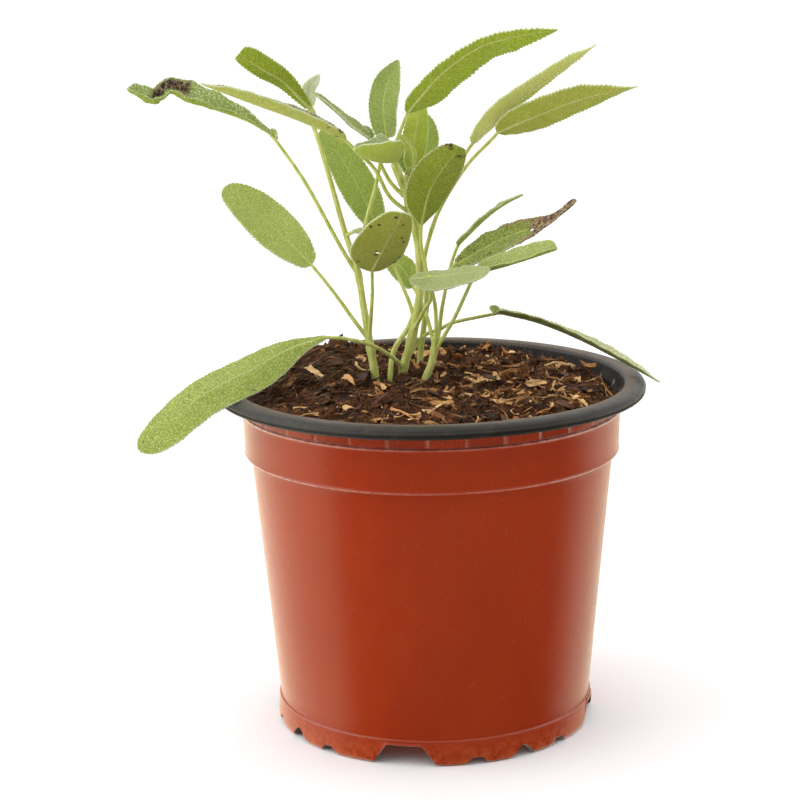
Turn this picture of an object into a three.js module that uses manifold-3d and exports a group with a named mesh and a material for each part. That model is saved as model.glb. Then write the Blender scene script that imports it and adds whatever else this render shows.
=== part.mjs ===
// A young common sage plant in a thermoformed nursery pot.
// Millimetres, +Z up. Every size and place below is measured from the foot of the pot's axis; the
// finished group is then moved so that its origin is under the middle of the whole plant's box.
// -Y is the side that the plant is seen from, +X is to the right of that view.

import * as THREE from "three";
import { mergeVertices } from "three/addons/utils/BufferGeometryUtils.js";
import Module from "manifold-3d";

// ---------------------------------------------------------------- driving sizes

const CLEARANCE = 0.3; // between pieces that touch

const POT = {
  height: 114,
  wall: 1.1,
  rimRadius: 70, // a 14 cm pot, measured over the rolled rim
  mouthRadius: 63,
  rimDrop: 4.2, // how far the rolled lip hangs down outside
  lip: 1.3,
  bandTop: 105, // ridge under the ribbed strip
  bandRadius: 61.8,
  stepHeight: 91, // the stacking step
  stepRadius: 59.3,
  footLine: 7.9, // crease above the feet
  footLineRadius: 51.8,
  footRadius: 52.7,
  floorHeight: 7.2,
  sides: 64,
};

const PADS = { count: 16, turn: -1.2, proud: 0.7, bottom: 105.4, top: 109.6 };

// Gaps between the feet: angle from the front, width at the floor, width at the top, height.
const WIDE_GAP = { at: -11, foot: 17.5, head: 11, high: 6.5 };
const DEEP_GAP = { at: 34, foot: 8.5, head: 2.4, high: 4 };
const SMALL_GAP = { at: [16.5, 52], foot: 6.8, head: 3.4, high: 2.2 };
const GAP_REPEAT = 90;
const DRAIN = { count: 8, radius: 3.2, at: 42 };

const SOIL = {
  base: POT.floorHeight + POT.wall + CLEARANCE,
  level: 111.2,
  mound: { x: -37, y: 36, reach: 21, rise: 7.5 },
  crown: { x: -8, y: 11, reach: 9, rise: 3.4 },
  lump: 1.5,
  rings: 8,
  sides: 36,
  chips: 34,
  seed: 20417,
};

const BLADE = 0.7; // blade thickness
const STALK = [0.75, 0.45]; // radius of a leaf stalk where it leaves the stem and inside the blade
const HOLE = 0.35; // room round a stem where it stands in the soil

// ---------------------------------------------------------------- solids

const wasm = await Module();
wasm.setup();

/** A closed three.js geometry as a solid that can be joined and cut. */
function solid(geometry) {
  const plain = geometry.index ? geometry.toNonIndexed() : geometry.clone();
  plain.deleteAttribute("normal");
  plain.deleteAttribute("uv");
  const merged = mergeVertices(plain, 1e-4);
  const made = new wasm.Manifold(
    new wasm.Mesh({
      numProp: 3,
      vertProperties: merged.attributes.position.array,
      triVerts: new Uint32Array(merged.index.array),
    }),
  );
  if (made.volume() >= 0) return made;
  const flipped = new Uint32Array(merged.index.array);
  for (let i = 0; i < flipped.length; i += 3) [flipped[i], flipped[i + 1]] = [flipped[i + 1], flipped[i]];
  return new wasm.Manifold(
    new wasm.Mesh({ numProp: 3, vertProperties: merged.attributes.position.array, triVerts: flipped }),
  );
}

/** The largest body of a solid, without the scraps that a cut can leave. */
function mainBody(made) {
  return made.decompose().sort((a, b) => b.volume() - a.volume())[0];
}

/** A solid as a named mesh. */
function meshOf(name, made, colour, roughness) {
  const m = made.getMesh();
  const points = new Float32Array(m.numVert * 3);
  for (let i = 0; i < m.numVert; i++) {
    points.set(m.vertProperties.subarray(i * m.numProp, i * m.numProp + 3), i * 3);
  }
  const geometry = new THREE.BufferGeometry();
  geometry.setAttribute("position", new THREE.BufferAttribute(points, 3));
  geometry.setIndex(new THREE.BufferAttribute(m.triVerts, 1));
  geometry.computeVertexNormals();
  const mesh = new THREE.Mesh(
    geometry,
    new THREE.MeshStandardMaterial({ color: colour, roughness, metalness: 0 }),
  );
  mesh.name = name;
  return mesh;
}

/** A seeded random number source. */
function dice(seed) {
  let s = seed >>> 0;
  return () => {
    s = (s + 0x6d2b79f5) >>> 0;
    let t = Math.imul(s ^ (s >>> 15), 1 | s);
    t = (t + Math.imul(t ^ (t >>> 7), 61 | t)) ^ t;
    return ((t ^ (t >>> 14)) >>> 0) / 4294967296;
  };
}

const radians = THREE.MathUtils.degToRad;
const vector = (p) => new THREE.Vector3(p[0], p[1], p[2]);
const curveOf = (points) => new THREE.CatmullRomCurve3(points.map(vector), false, "catmullrom", 0.5);

// ---------------------------------------------------------------- pot

/** A radial slot through the foot ring, wider at the floor than at its head. */
function footGap(degrees, gap) {
  const shape = new THREE.Shape();
  shape.moveTo(-gap.foot / 2 - 1, -2);
  shape.lineTo(gap.foot / 2 + 1, -2);
  shape.lineTo(gap.foot / 2, 0.4);
  shape.lineTo(gap.head / 2, gap.high);
  shape.lineTo(-gap.head / 2, gap.high);
  shape.lineTo(-gap.foot / 2, 0.4);
  shape.closePath();
  const slot = new THREE.ExtrudeGeometry(shape, { depth: 9, bevelEnabled: false, curveSegments: 1 });
  slot.rotateX(Math.PI / 2); // the outline now stands in XZ and the slot runs towards -Y
  slot.translate(0, -POT.footRadius + 6.5, 0);
  slot.rotateZ(radians(degrees));
  return solid(slot);
}

/** One of the raised pads of the strip under the rim. */
function bandPad(index) {
  const step = (2 * Math.PI) / PADS.count;
  const from = index * step + radians(PADS.turn) - Math.PI / 2;
  const inner = POT.bandRadius - 0.9;
  const outer = POT.bandRadius - 0.5 + PADS.proud;
  const shape = new THREE.Shape();
  const corners = [0, 0.5, 1].map((k) => from + (k * step) / 2);
  shape.moveTo(inner * Math.cos(corners[0]), inner * Math.sin(corners[0]));
  for (const a of corners) shape.lineTo(outer * Math.cos(a), outer * Math.sin(a));
  for (const a of corners.slice(1).reverse()) shape.lineTo(inner * Math.cos(a), inner * Math.sin(a));
  shape.closePath();
  const pad = new THREE.ExtrudeGeometry(shape, {
    depth: PADS.top - PADS.bottom,
    bevelEnabled: false,
    curveSegments: 1,
  });
  pad.translate(0, 0, PADS.bottom);
  return solid(pad);
}

function drainHole(index) {
  const hole = new THREE.CylinderGeometry(DRAIN.radius, DRAIN.radius, 8, 8);
  hole.rotateX(Math.PI / 2);
  const a = radians(22.5 + (index * 360) / DRAIN.count);
  hole.translate(DRAIN.at * Math.cos(a), DRAIN.at * Math.sin(a), POT.floorHeight);
  return solid(hole);
}

/** The pot: one formed sheet with a rolled rim, a ribbed strip, a stacking step and cut feet. */
function potSolid() {
  const t = POT.wall;
  const top = POT.height;
  const outside = [
    [0, POT.floorHeight],
    [POT.footLineRadius - 4.6, POT.floorHeight],
    [POT.footRadius - 3.7, 0],
    [POT.footRadius - 0.5, 0],
    [POT.footRadius, 1.1],
    [POT.footLineRadius, POT.footLine],
    [POT.stepRadius - 0.2, POT.stepHeight - 2],
    [POT.stepRadius + 0.4, POT.stepHeight - 0.3],
    [POT.bandRadius - 0.6, POT.stepHeight + 0.6],
    [POT.bandRadius, POT.bandTop - 0.4],
    [POT.bandRadius - 0.5, POT.bandTop + 0.3],
    [POT.bandRadius - 0.2, top - POT.rimDrop + 1.6],
    [POT.mouthRadius + 1.2, top - POT.lip - 0.2],
    [POT.rimRadius - POT.lip, top - 2.6],
    [POT.rimRadius - POT.lip - 0.2, top - POT.rimDrop],
    [POT.rimRadius - 0.6, top - POT.rimDrop],
    [POT.rimRadius, top - 2.6],
    [POT.rimRadius - 1, top - 0.7],
    [POT.rimRadius - 3.4, top],
    [POT.mouthRadius + 0.9, top - 0.5],
    [POT.bandRadius - 0.5 - t, top - 3.4],
    [POT.bandRadius - t - 0.5, POT.stepHeight + 0.3],
    [POT.stepRadius - t, POT.stepHeight - 2],
    [POT.footLineRadius - t, POT.footLine + 2.6],
    [POT.footLineRadius - t - 1.4, POT.floorHeight + t],
    [0, POT.floorHeight + t],
  ];
  const lathe = new THREE.LatheGeometry(
    outside.map(([r, z]) => new THREE.Vector2(r, z)),
    POT.sides,
  );
  lathe.rotateX(Math.PI / 2);
  lathe.rotateZ(radians(PADS.turn));
  let pot = solid(lathe);
  for (let i = 0; i < PADS.count; i++) pot = pot.add(bandPad(i));
  for (let quarter = 0; quarter < 360; quarter += GAP_REPEAT) {
    pot = pot.subtract(footGap(WIDE_GAP.at + quarter, WIDE_GAP));
    pot = pot.subtract(footGap(DEEP_GAP.at + quarter, DEEP_GAP));
    for (const at of SMALL_GAP.at) pot = pot.subtract(footGap(at + quarter, SMALL_GAP));
  }
  for (let i = 0; i < DRAIN.count; i++) pot = pot.subtract(drainHole(i));
  return mainBody(pot);
}

/** Radius of the inside of the pot wall at a height. */
function boreRadius(z) {
  const t = POT.wall;
  const rows = [
    [POT.floorHeight + t, POT.footLineRadius - t - 1.4],
    [POT.footLine + 2.6, POT.footLineRadius - t],
    [POT.stepHeight - 2, POT.stepRadius - t],
    [POT.stepHeight + 0.3, POT.bandRadius - t - 0.5],
    [POT.height - 3.4, POT.bandRadius - t - 0.5],
    [POT.height - 0.5, POT.mouthRadius + 0.9],
  ];
  for (let i = 1; i < rows.length; i++) {
    if (z <= rows[i][0]) {
      const k = (z - rows[i - 1][0]) / (rows[i][0] - rows[i - 1][0]);
      return rows[i - 1][1] + Math.max(0, k) * (rows[i][1] - rows[i - 1][1]);
    }
  }
  return rows[rows.length - 1][1];
}

// ---------------------------------------------------------------- soil

/** Height of the potting mix at a place: level, mounded at the back left and round the stems. */
function soilHeight(x, y) {
  const bump = (m) => m.rise * Math.exp(-((x - m.x) ** 2 + (y - m.y) ** 2) / (2 * m.reach ** 2) * 2);
  const lumps =
    Math.sin(0.31 * x + 1.3) * Math.cos(0.27 * y - 0.4) +
    0.6 * Math.sin(0.62 * x - 0.5 * y + 2.1) +
    0.5 * Math.cos(0.8 * y + 0.35 * x);
  const edge = THREE.MathUtils.smoothstep(Math.hypot(x, y), 52, 62);
  return (
    SOIL.level + (bump(SOIL.mound) + SOIL.lump * 0.5 * lumps) * (1 - 0.75 * edge) + bump(SOIL.crown)
  );
}

/** A wood chip or bit of bark: a thin tapered flake lying on the mix, sunk in by half. */
function chip(x, y, turn, length, width) {
  const shape = new THREE.Shape();
  shape.moveTo(-length / 2, -width * 0.2);
  shape.lineTo(-length * 0.1, -width / 2);
  shape.lineTo(length / 2, -width * 0.12);
  shape.lineTo(length * 0.38, width * 0.3);
  shape.lineTo(-length * 0.3, width / 2);
  shape.closePath();
  const flake = new THREE.ExtrudeGeometry(shape, { depth: 1.8, bevelEnabled: false, curveSegments: 1 });
  const run = 2;
  const slopeX = Math.atan2(soilHeight(x + run, y) - soilHeight(x - run, y), 2 * run);
  const slopeY = Math.atan2(soilHeight(x, y + run) - soilHeight(x, y - run), 2 * run);
  flake.translate(0, 0, -1);
  flake.rotateZ(turn);
  flake.rotateY(-slopeX);
  flake.rotateX(slopeY);
  flake.translate(x, y, soilHeight(x, y));
  return solid(flake);
}

function soilSolid() {
  const n = SOIL.sides;
  const rings = SOIL.rings;
  const places = [];
  const faces = [];
  const edgeRadius = (z) => boreRadius(z) - CLEARANCE - 0.1;
  const add = (x, y, z) => places.push(x, y, z) / 3 - 1;
  const circle = (radius, height) => {
    const first = places.length / 3;
    for (let i = 0; i < n; i++) {
      const a = (2 * Math.PI * (i + 0.5)) / n;
      const x = radius * Math.cos(a);
      const y = radius * Math.sin(a);
      add(x, y, typeof height === "function" ? height(x, y) : height);
    }
    return first;
  };
  const strip = (low, high) => {
    for (let i = 0; i < n; i++) {
      const j = (i + 1) % n;
      faces.push(low + i, low + j, high + j, low + i, high + j, high + i);
    }
  };
  const bottom = add(0, 0, SOIL.base);
  const levels = [
    [edgeRadius(SOIL.base), SOIL.base],
    [edgeRadius(POT.footLine + 2.6), POT.footLine + 2.6],
    [edgeRadius(POT.stepHeight - 2), POT.stepHeight - 2],
    [edgeRadius(POT.stepHeight + 0.3), POT.stepHeight + 0.6],
  ];
  let last = circle(...levels[0]);
  for (let i = 0; i < n; i++) faces.push(bottom, last + ((i + 1) % n), last + i);
  for (const level of levels.slice(1)) {
    const next = circle(...level);
    strip(last, next);
    last = next;
  }
  for (let k = rings; k > 0; k--) {
    const radius = (edgeRadius(POT.stepHeight + 0.3) * k) / rings;
    const next = circle(radius, soilHeight);
    strip(last, next);
    last = next;
  }
  const top = add(0, 0, soilHeight(0, 0));
  for (let i = 0; i < n; i++) faces.push(last + i, last + ((i + 1) % n), top);
  const geometry = new THREE.BufferGeometry();
  geometry.setAttribute("position", new THREE.Float32BufferAttribute(places, 3));
  geometry.setIndex(faces);
  let soil = solid(geometry);
  const draw = dice(SOIL.seed);
  for (let i = 0; i < SOIL.chips; i++) {
    const a = 2 * Math.PI * draw();
    const r = 54 * Math.sqrt(draw());
    const length = 3.5 + 6.5 * draw() ** 1.5;
    const width = 1.4 + 1.8 * draw();
    soil = soil.add(chip(r * Math.cos(a), r * Math.sin(a), Math.PI * draw(), length, width));
  }
  return soil;
}

// ---------------------------------------------------------------- stems

/** A round stalk along a curve, thick at its root and thin at its tip; `room` grows it all round. */
function stalkSolid(points, [rootRadius, tipRadius], sides, room = 0) {
  const steps = points.length + 2;
  const curve = curveOf(points);
  const places = [];
  const faces = [];
  let side = new THREE.Vector3(1, 0.2, 0);
  for (let k = 0; k <= steps; k++) {
    const t = k / steps;
    const at = curve.getPoint(t);
    const along = curve.getTangent(t);
    side = side.clone().addScaledVector(along, -side.dot(along)).normalize();
    const other = new THREE.Vector3().crossVectors(along, side);
    const r = rootRadius + (tipRadius - rootRadius) * t + room;
    if (k === 0) at.addScaledVector(along, -room);
    if (k === steps) at.addScaledVector(along, room);
    for (let i = 0; i < sides; i++) {
      const a = (2 * Math.PI * i) / sides;
      const p = at.clone().addScaledVector(side, r * Math.cos(a)).addScaledVector(other, r * Math.sin(a));
      places.push(p.x, p.y, p.z);
    }
  }
  for (let k = 0; k < steps; k++) {
    for (let i = 0; i < sides; i++) {
      const j = (i + 1) % sides;
      const a = k * sides;
      const b = a + sides;
      faces.push(a + i, a + j, b + j, a + i, b + j, b + i);
    }
  }
  for (let i = 1; i < sides - 1; i++) {
    faces.push(0, i + 1, i);
    const end = steps * sides;
    faces.push(end, end + i, end + i + 1);
  }
  const geometry = new THREE.BufferGeometry();
  geometry.setAttribute("position", new THREE.Float32BufferAttribute(places, 3));
  geometry.setIndex(faces);
  return solid(geometry);
}

// Each stem: its path up from below the soil, and its radius at the root and at the tip.
const STEMS = {
  stem_left: {
    path: [
      [-17.5, 1.5, 100], [-18, 1.5, 112], [-19.5, 2.5, 123], [-21.5, 4, 136], [-23.5, 5.5, 149],
      [-27.5, 7, 162], [-33.5, 9.5, 184.5], [-38, 10, 199.5],
    ],
    radius: [1.45, 0.6],
  },
  stem_centre: {
    path: [
      [-10.5, 8.5, 100], [-9, 8.5, 115], [-7, 9, 122], [-3.5, 10, 137.5], [-4, 9, 155],
      [-7, 6, 171], [-10.5, 2.5, 182.5],
    ],
    radius: [1.35, 0.8],
  },
  stem_back: {
    path: [[-4, 15.5, 100], [-3.5, 15.5, 116.5], [-2, 16, 128.5], [-1, 16, 137], [-2, 15, 152.5]],
    radius: [1, 0.8],
  },
  stem_right: {
    path: [[-4, 1.5, 100], [-2, 1.5, 112], [0.5, 1.5, 119], [2, 1.5, 128]],
    radius: [1.35, 1.1],
  },
  side_shoot: {
    path: [
      [-14, 4, 100], [-13.5, 5, 112], [-12, 10.5, 121], [-6.5, 19.5, 128.5], [-3.5, 23, 140.5],
      [-3.5, 22, 164], [-4.5, 20, 175],
    ],
    radius: [0.9, 0.7],
  },
};

// ---------------------------------------------------------------- leaves

/**
 * A leaf blade round its midrib: a thin sheet with a rounded or pointed outline, folded along
 * the midrib, with scalloped edges. Both faces have the same triangles.
 */
function bladeSolid(leaf) {
  const curve = curveOf(leaf.blade);
  const rows = leaf.rows ?? 12;
  const half = leaf.rows && leaf.rows < 10 ? 1 : 2;
  const columns = 2 * half;
  const fold = radians(leaf.fold ?? 10);
  const turn = radians(leaf.turn ?? 0);
  const [belly, blunt] = leaf.outline ?? [0.85, 0.62];
  const scallop = leaf.scallop ?? 0.35;
  const upper = [];
  const lower = [];
  for (let k = 0; k <= rows; k++) {
    const t = k / rows;
    const at = curve.getPoint(t);
    const along = curve.getTangent(t);
    const face = vector(leaf.face);
    face.addScaledVector(along, -face.dot(along)).normalize();
    face.applyAxisAngle(along, turn * (t - 0.3));
    const side = new THREE.Vector3().crossVectors(along, face);
    const reach = Math.sin(Math.PI * Math.pow(0.025 + 0.955 * t, belly)) ** blunt;
    const tooth = k % 2 && k < rows ? scallop : 0;
    for (let i = 0; i <= columns; i++) {
      const s = (i - half) / half;
      const w = (leaf.width / 2) * reach + (Math.abs(s) === 1 ? tooth : 0);
      const wave = (leaf.wave ?? 0.5) * Math.sin(7 * t + (s > 0 ? 0.6 : 2.2)) * Math.abs(s) * reach;
      const p = at
        .clone()
        .addScaledVector(side, s * w * Math.cos(fold))
        .addScaledVector(face, Math.abs(s) ** 1.4 * w * Math.sin(fold) + wave);
      upper.push(p.clone().addScaledVector(face, BLADE / 2));
      lower.push(p.clone().addScaledVector(face, -BLADE / 2));
    }
  }
  const places = [...upper, ...lower].flatMap((p) => [p.x, p.y, p.z]);
  const faces = [];
  const wide = columns + 1;
  const under = upper.length;
  for (let k = 0; k < rows; k++) {
    for (let i = 0; i < columns; i++) {
      const a = k * wide + i;
      const [b, c, d] = [a + 1, a + wide, a + wide + 1];
      const split = i < half ? [a, b, c, b, d, c] : [a, b, d, a, d, c];
      faces.push(...split);
      for (const q of [0, 3]) faces.push(under + split[q], under + split[q + 2], under + split[q + 1]);
    }
    const a = k * wide;
    const b = a + columns;
    faces.push(a, a + wide, under + a + wide, a, under + a + wide, under + a);
    faces.push(b, under + b + wide, b + wide, b, under + b, under + b + wide);
  }
  for (let i = 0; i < columns; i++) {
    const end = rows * wide + i;
    faces.push(i, under + i + 1, i + 1, i, under + i, under + i + 1);
    faces.push(end, end + 1, under + end + 1, end, under + end + 1, under + end);
  }
  const geometry = new THREE.BufferGeometry();
  geometry.setAttribute("position", new THREE.Float32BufferAttribute(places, 3));
  geometry.setIndex(faces);
  return solid(geometry);
}

// Each leaf: the stem or leaf it grows from, the path of its stalk from inside that stem to the
// blade, the path of its midrib from base to tip, the side its upper face looks to, and its width.
const LEAVES = {
  leaf_left_low_large: {
    on: "stem_centre",
    stalk: [
      [-9, 8.5, 115], [-11, 5, 118.5], [-16.5, -1.5, 124], [-22.5, -4, 127], [-29.5, -5, 128.5],
    ],
    blade: [
      [-33.5, -5, 129], [-45, -10.8, 126.4], [-57, -18.8, 121.4], [-73, -30.8, 114.9],
      [-89.5, -46.8, 101.9],
    ],
    face: [-0.3, -0.65, 0.7], width: 17, fold: -8, outline: [0.95, 0.5],
  },
  leaf_left_middle: {
    on: "stem_left",
    stalk: [[-20, 3, 126], [-25.5, 4, 133.5], [-29, 5, 138.5], [-34, 6.5, 145]],
    blade: [[-38.5, 8, 150.5], [-47, 11, 160], [-56.5, 14, 168.5], [-67, 16, 175.5]],
    face: [0.25, -0.85, 0.45], width: 15, outline: [1, 0.5],
  },
  leaf_left_curled_tip: {
    on: "stem_left",
    stalk: [[-24, 5.5, 148.5], [-29, 6, 157], [-38.5, 8, 175], [-44.5, 9, 184.5]],
    blade: [
      [-49.5, 9.5, 192.7], [-57, 7, 198.7], [-65, 4, 202.7], [-72.5, 1, 206.7], [-79.5, -2, 209.5],
      [-83.5, -3, 209.5], [-87.5, -4, 207.5], [-93, -6, 209.5],
    ],
    face: [0.1, -0.65, 0.75], width: 9.5, outline: [0.7, 2.4], turn: 30,
  },
  leaf_left_folded: {
    on: "stem_centre",
    stalk: [[-6, 7, 167], [-12.5, 4, 173], [-17, 2, 182], [-22.5, 0, 188]],
    blade: [[-26, -2, 192.8], [-41.5, -7, 201.2], [-55, -12, 206.7], [-68, -17, 211.7]],
    face: [0, 0.45, 0.9], width: 7, fold: 25, outline: [0.8, 0.7],
  },
  leaf_top_left: {
    on: "stem_left",
    stalk: [[-37.5, 9.8, 197], [-39.2, 8.2, 200.5]],
    blade: [[-40.2, 6.5, 204], [-46.7, -1, 212], [-53.2, -8, 217], [-58, -14, 221]],
    face: [0.45, 0.65, 0.6], width: 13, outline: [0.95, 0.5],
  },
  leaf_top_left_young: {
    on: "stem_left",
    stalk: [[-37, 10.2, 196], [-36.6, 11.6, 199.5]],
    blade: [[-37.5, 10.5, 201.5], [-38.5, 10, 207], [-34.5, 9, 212]],
    face: [0.5, -0.8, 0.2], width: 5.5, rows: 8, fold: 20,
  },
  leaf_left_slim: {
    on: "stem_centre",
    stalk: [[-8, 5.5, 173], [-12, 7, 177], [-15, 7.5, 182.5], [-17, 6.5, 188]],
    blade: [[-18.5, 5, 191.5], [-26.5, 3, 198.5], [-36, 0, 207]],
    face: [0.1, -0.4, 0.9], width: 7.5, rows: 8, fold: 24,
  },
  leaf_tall_grey: {
    on: "stem_left",
    stalk: [[-24, 5.5, 149.5], [-20.5, 9, 164], [-17, 11, 176], [-15, 12, 185.5]],
    blade: [[-13.2, 12, 191], [-14.2, 13.5, 200.5], [-12.7, 16, 208.5], [-9.2, 20, 215.5]],
    face: [0.15, -1, 0.25], width: 9.5, outline: [0.9, 0.55],
  },
  leaf_round_front: {
    on: "stem_left",
    stalk: [[-20, 3, 125.5], [-19, -1, 136.5], [-18.5, -3, 143.5]],
    blade: [[-18.5, -6.5, 150.5], [-15, -18, 159.5], [-10, -30, 172]],
    face: [-0.1, 0.75, 0.6], width: 17.5, outline: [0.95, 0.5], fold: 8,
  },
  leaf_back_left_broad: {
    on: "stem_centre",
    stalk: [[-5, 9.5, 129.5], [-6.5, 14, 135.5], [-9.5, 16, 143], [-12, 17, 149.5]],
    blade: [[-16.5, 18.5, 158], [-21.5, 21, 170], [-27.5, 25, 181], [-35.5, 30, 192]],
    face: [0.15, -0.9, 0.4], width: 12.5, outline: [0.95, 0.5],
  },
  leaf_crown_cupped: {
    on: "stem_centre",
    stalk: [[-9.6, 3.4, 178.5], [-11.6, 0.4, 182.5]],
    blade: [[-12.5, -1, 185], [-14, -9, 188], [-16, -17, 191]],
    face: [0.15, 0.75, 0.6], width: 15, outline: [0.9, 0.5], fold: 14, rows: 12,
  },
  leaf_crown_inner: {
    on: "stem_centre",
    stalk: [[-8.5, 4, 177.5], [-6.5, 5, 179.5]],
    blade: [[-5.5, 6, 180.5], [-5.5, 7, 187.5], [-9, 8, 192.5]],
    face: [-0.7, 0.7, 0], width: 5.5, rows: 8, fold: 20,
  },
  leaf_crown_dark: {
    on: "stem_centre",
    stalk: [[-8.2, 4.6, 175], [-7.5, 8, 177.5]],
    blade: [[-7, 9.5, 180], [-7.5, 11, 184.5], [-10, 12, 188.5]],
    face: [0.2, -0.95, 0.2], width: 5, rows: 8, fold: 12,
  },
  leaf_top_right_broad: {
    on: "stem_centre",
    stalk: [[-10.5, 3, 181], [-10.3, 2.2, 189], [-8.6, 1.2, 194.5]],
    blade: [
      [-6.4, 0, 197.7], [0.1, -7, 208.2], [9.6, -15, 215.2], [21.1, -23, 221.2], [39.5, -30, 227],
    ],
    face: [-0.3, 0.85, 0.45], width: 12, outline: [0.8, 0.62], fold: 6,
  },
  leaf_right_narrow: {
    on: "stem_back",
    stalk: [[-2, 15.3, 150], [-0.6, 17, 155], [3.5, 14, 167.5], [9, 9, 180], [12.5, 8, 186.5]],
    blade: [[14.4, 7, 189.4], [24.9, 2, 200.4], [38.4, -5, 210.9], [52.5, -12, 221.5]],
    face: [-0.4, 0.6, 0.7], width: 9, outline: [0.8, 0.7], fold: 14,
  },
  leaf_right_pointed: {
    on: "stem_back",
    stalk: [
      [-2, 14.7, 147], [-1.2, 12.6, 153], [1.5, 10.5, 163], [6, 7.5, 172.5], [13, 6, 183],
      [20, 3, 190.5],
    ],
    blade: [[21.5, 2.5, 193.1], [32.5, -5, 198.6], [48, -15, 205.1], [64, -26, 209]],
    face: [-0.15, 0.9, 0.45], width: 11, outline: [0.8, 0.62], fold: 10,
  },
  leaf_centre_broad: {
    on: "stem_right",
    stalk: [[2, 1.5, 127], [2, 1.5, 132], [1.5, 2, 139], [-0.5, 3, 147], [-2.5, 4, 156.5]],
    blade: [[-2.5, 3.5, 163.5], [1, -3, 177], [10, -11, 190.5]],
    face: [-0.25, 0.95, 0.15], width: 15.5, outline: [1.15, 0.55], fold: 12,
  },
  leaf_back_pale: {
    on: "side_shoot",
    stalk: [[-4.5, 20, 173.5], [-5, 17, 179.5]],
    blade: [[-5, 16, 180.5], [-4.5, 12, 190], [-3, 8, 200]],
    face: [0.1, 1, 0.2], width: 8, outline: [0.9, 0.6], rows: 10, fold: 16,
  },
  leaf_back_dark: {
    on: "side_shoot",
    stalk: [[-4.5, 20, 173], [-3, 22.5, 178.5]],
    blade: [[-2.5, 22, 181], [0, 24, 189], [-0.5, 28, 197]],
    face: [0.1, -1, 0.3], width: 7.5, outline: [0.9, 0.6], rows: 10,
  },
  leaf_back_low: {
    on: "stem_right",
    stalk: [[1.5, 1.5, 123.5], [-1, 6, 133], [-3, 14, 137], [-5, 18.5, 140]],
    blade: [[-5.5, 19.5, 140.5], [-9, 22, 146.5], [-14, 25, 149]],
    face: [0.1, -0.95, 0.3], width: 8.5, outline: [0.95, 0.5], rows: 10,
  },
  leaf_right_edge_on: {
    on: "stem_right",
    stalk: [
      [2, 1.8, 124], [3, 3.8, 129], [3.8, 4.8, 135], [5, 6, 141], [6.5, 7.5, 147.5],
      [8, 8.5, 152.5],
    ],
    blade: [[8.5, 9, 154.5], [18, 12, 164], [31, 15, 171.5]],
    face: [-0.5, 0, 0.85], width: 6, rows: 10, fold: 26,
  },
  leaf_right_withered: {
    on: "leaf_right_edge_on",
    stalk: [[6, 7, 145.5], [6.5, 6, 147], [8.5, 5, 150.5]],
    blade: [[8.5, 5, 149.4], [19, 3, 155.4], [29, 0, 160.4], [39, -3, 165.4], [46, -5, 171.9]],
    face: [-0.3, -0.6, 0.75], width: 9, outline: [0.62, 0.85], turn: -25,
  },
  leaf_right_drooping: {
    on: "stem_right",
    stalk: [[1, 1.5, 121], [3.5, 0.5, 126], [8, -1, 134], [13.5, -3, 146]],
    blade: [[16, -4, 151], [24, -8, 155.5], [32.5, -12, 159], [40.5, -16, 160.5]],
    face: [0, -0.5, 0.85], width: 7.5, fold: -22, outline: [0.95, 0.6],
  },
  leaf_front_pale: {
    on: "stem_centre",
    stalk: [[-5.5, 9.5, 127.5], [-2, 3, 135.5], [0.5, -1.5, 141]],
    blade: [[-6, -1.5, 147], [1, -4, 147], [8.5, -10, 147.5], [19, -18, 152]],
    face: [0.1, -0.6, 0.8], width: 10, fold: -10, outline: [1.15, 0.6], join: [0.24, 0.34],
  },
  leaf_right_over_rim: {
    on: "stem_centre",
    stalk: [
      [-8.5, 8.5, 116], [-6, 9.5, 121], [-1.5, 11, 126], [3, 12, 127.5], [8, 14, 129.5],
      [21.5, 20, 131],
    ],
    blade: [[22.5, 18, 132], [36.5, 17, 128.5], [51, 12, 123], [63.5, 3.5, 117.5], [73, -6, 113]],
    face: [0.3, -0.35, 0.85], width: 7, outline: [0.85, 0.6], fold: 14,
  },
};

/** The stalk of a leaf, grown by `room`, running on a little way into its blade as the midrib. */
function leafStalk(leaf, room = 0) {
  const midrib = curveOf(leaf.blade);
  const path = [...leaf.stalk, ...(leaf.join ?? [0.02, 0.1]).map((t) => midrib.getPoint(t).toArray())];
  return stalkSolid(path, STALK, 4, room);
}

/** A leaf with its stalk, cut clear of whatever it grows from. */
function leafSolid(leaf, parent) {
  return mainBody(bladeSolid(leaf).add(leafStalk(leaf)).subtract(parent));
}

// ---------------------------------------------------------------- assembly

const plant = new THREE.Group();
const grown = {};
const collars = {};

for (const [name, stem] of Object.entries(STEMS)) {
  grown[name] = stalkSolid(stem.path, stem.radius, 6);
  collars[name] = stalkSolid(stem.path, stem.radius, 6, CLEARANCE);
  plant.add(meshOf(name, grown[name], 0x9fae5c, 0.75));
}

for (const [name, leaf] of Object.entries(LEAVES)) {
  const parent = collars[leaf.on];
  grown[name] = leafSolid(leaf, parent);
  collars[name] = leafStalk(leaf, CLEARANCE);
  plant.add(meshOf(name, grown[name], 0x8fa35c, 0.8));
}

let soil = soilSolid();
for (const stem of Object.values(STEMS)) {
  soil = soil.subtract(stalkSolid(stem.path, stem.radius, 6, HOLE));
}
plant.add(meshOf("soil", mainBody(soil), 0x3b2a22, 0.95));
plant.add(meshOf("pot", potSolid(), 0xa03c1b, 0.45));

// The frame's origin is on the floor under the middle of the whole plant's box.
const box = new THREE.Box3().setFromObject(plant);
const middle = box.getCenter(new THREE.Vector3());
plant.position.set(-middle.x, -middle.y, -box.min.z);

export default plant;
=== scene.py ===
"""A young sage plant in a terracotta-coloured nursery pot, dressed for rendering.

Sizes and places are in millimetres from the foot of the pot's axis, +Z up and -Y towards the viewer,
unless a name says otherwise. Every mesh is handed to Blender in metres, in the frame's own axes.
"""
import logging
import math
from collections.abc import Callable, Sequence
from dataclasses import dataclass, field
from enum import Enum

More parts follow.
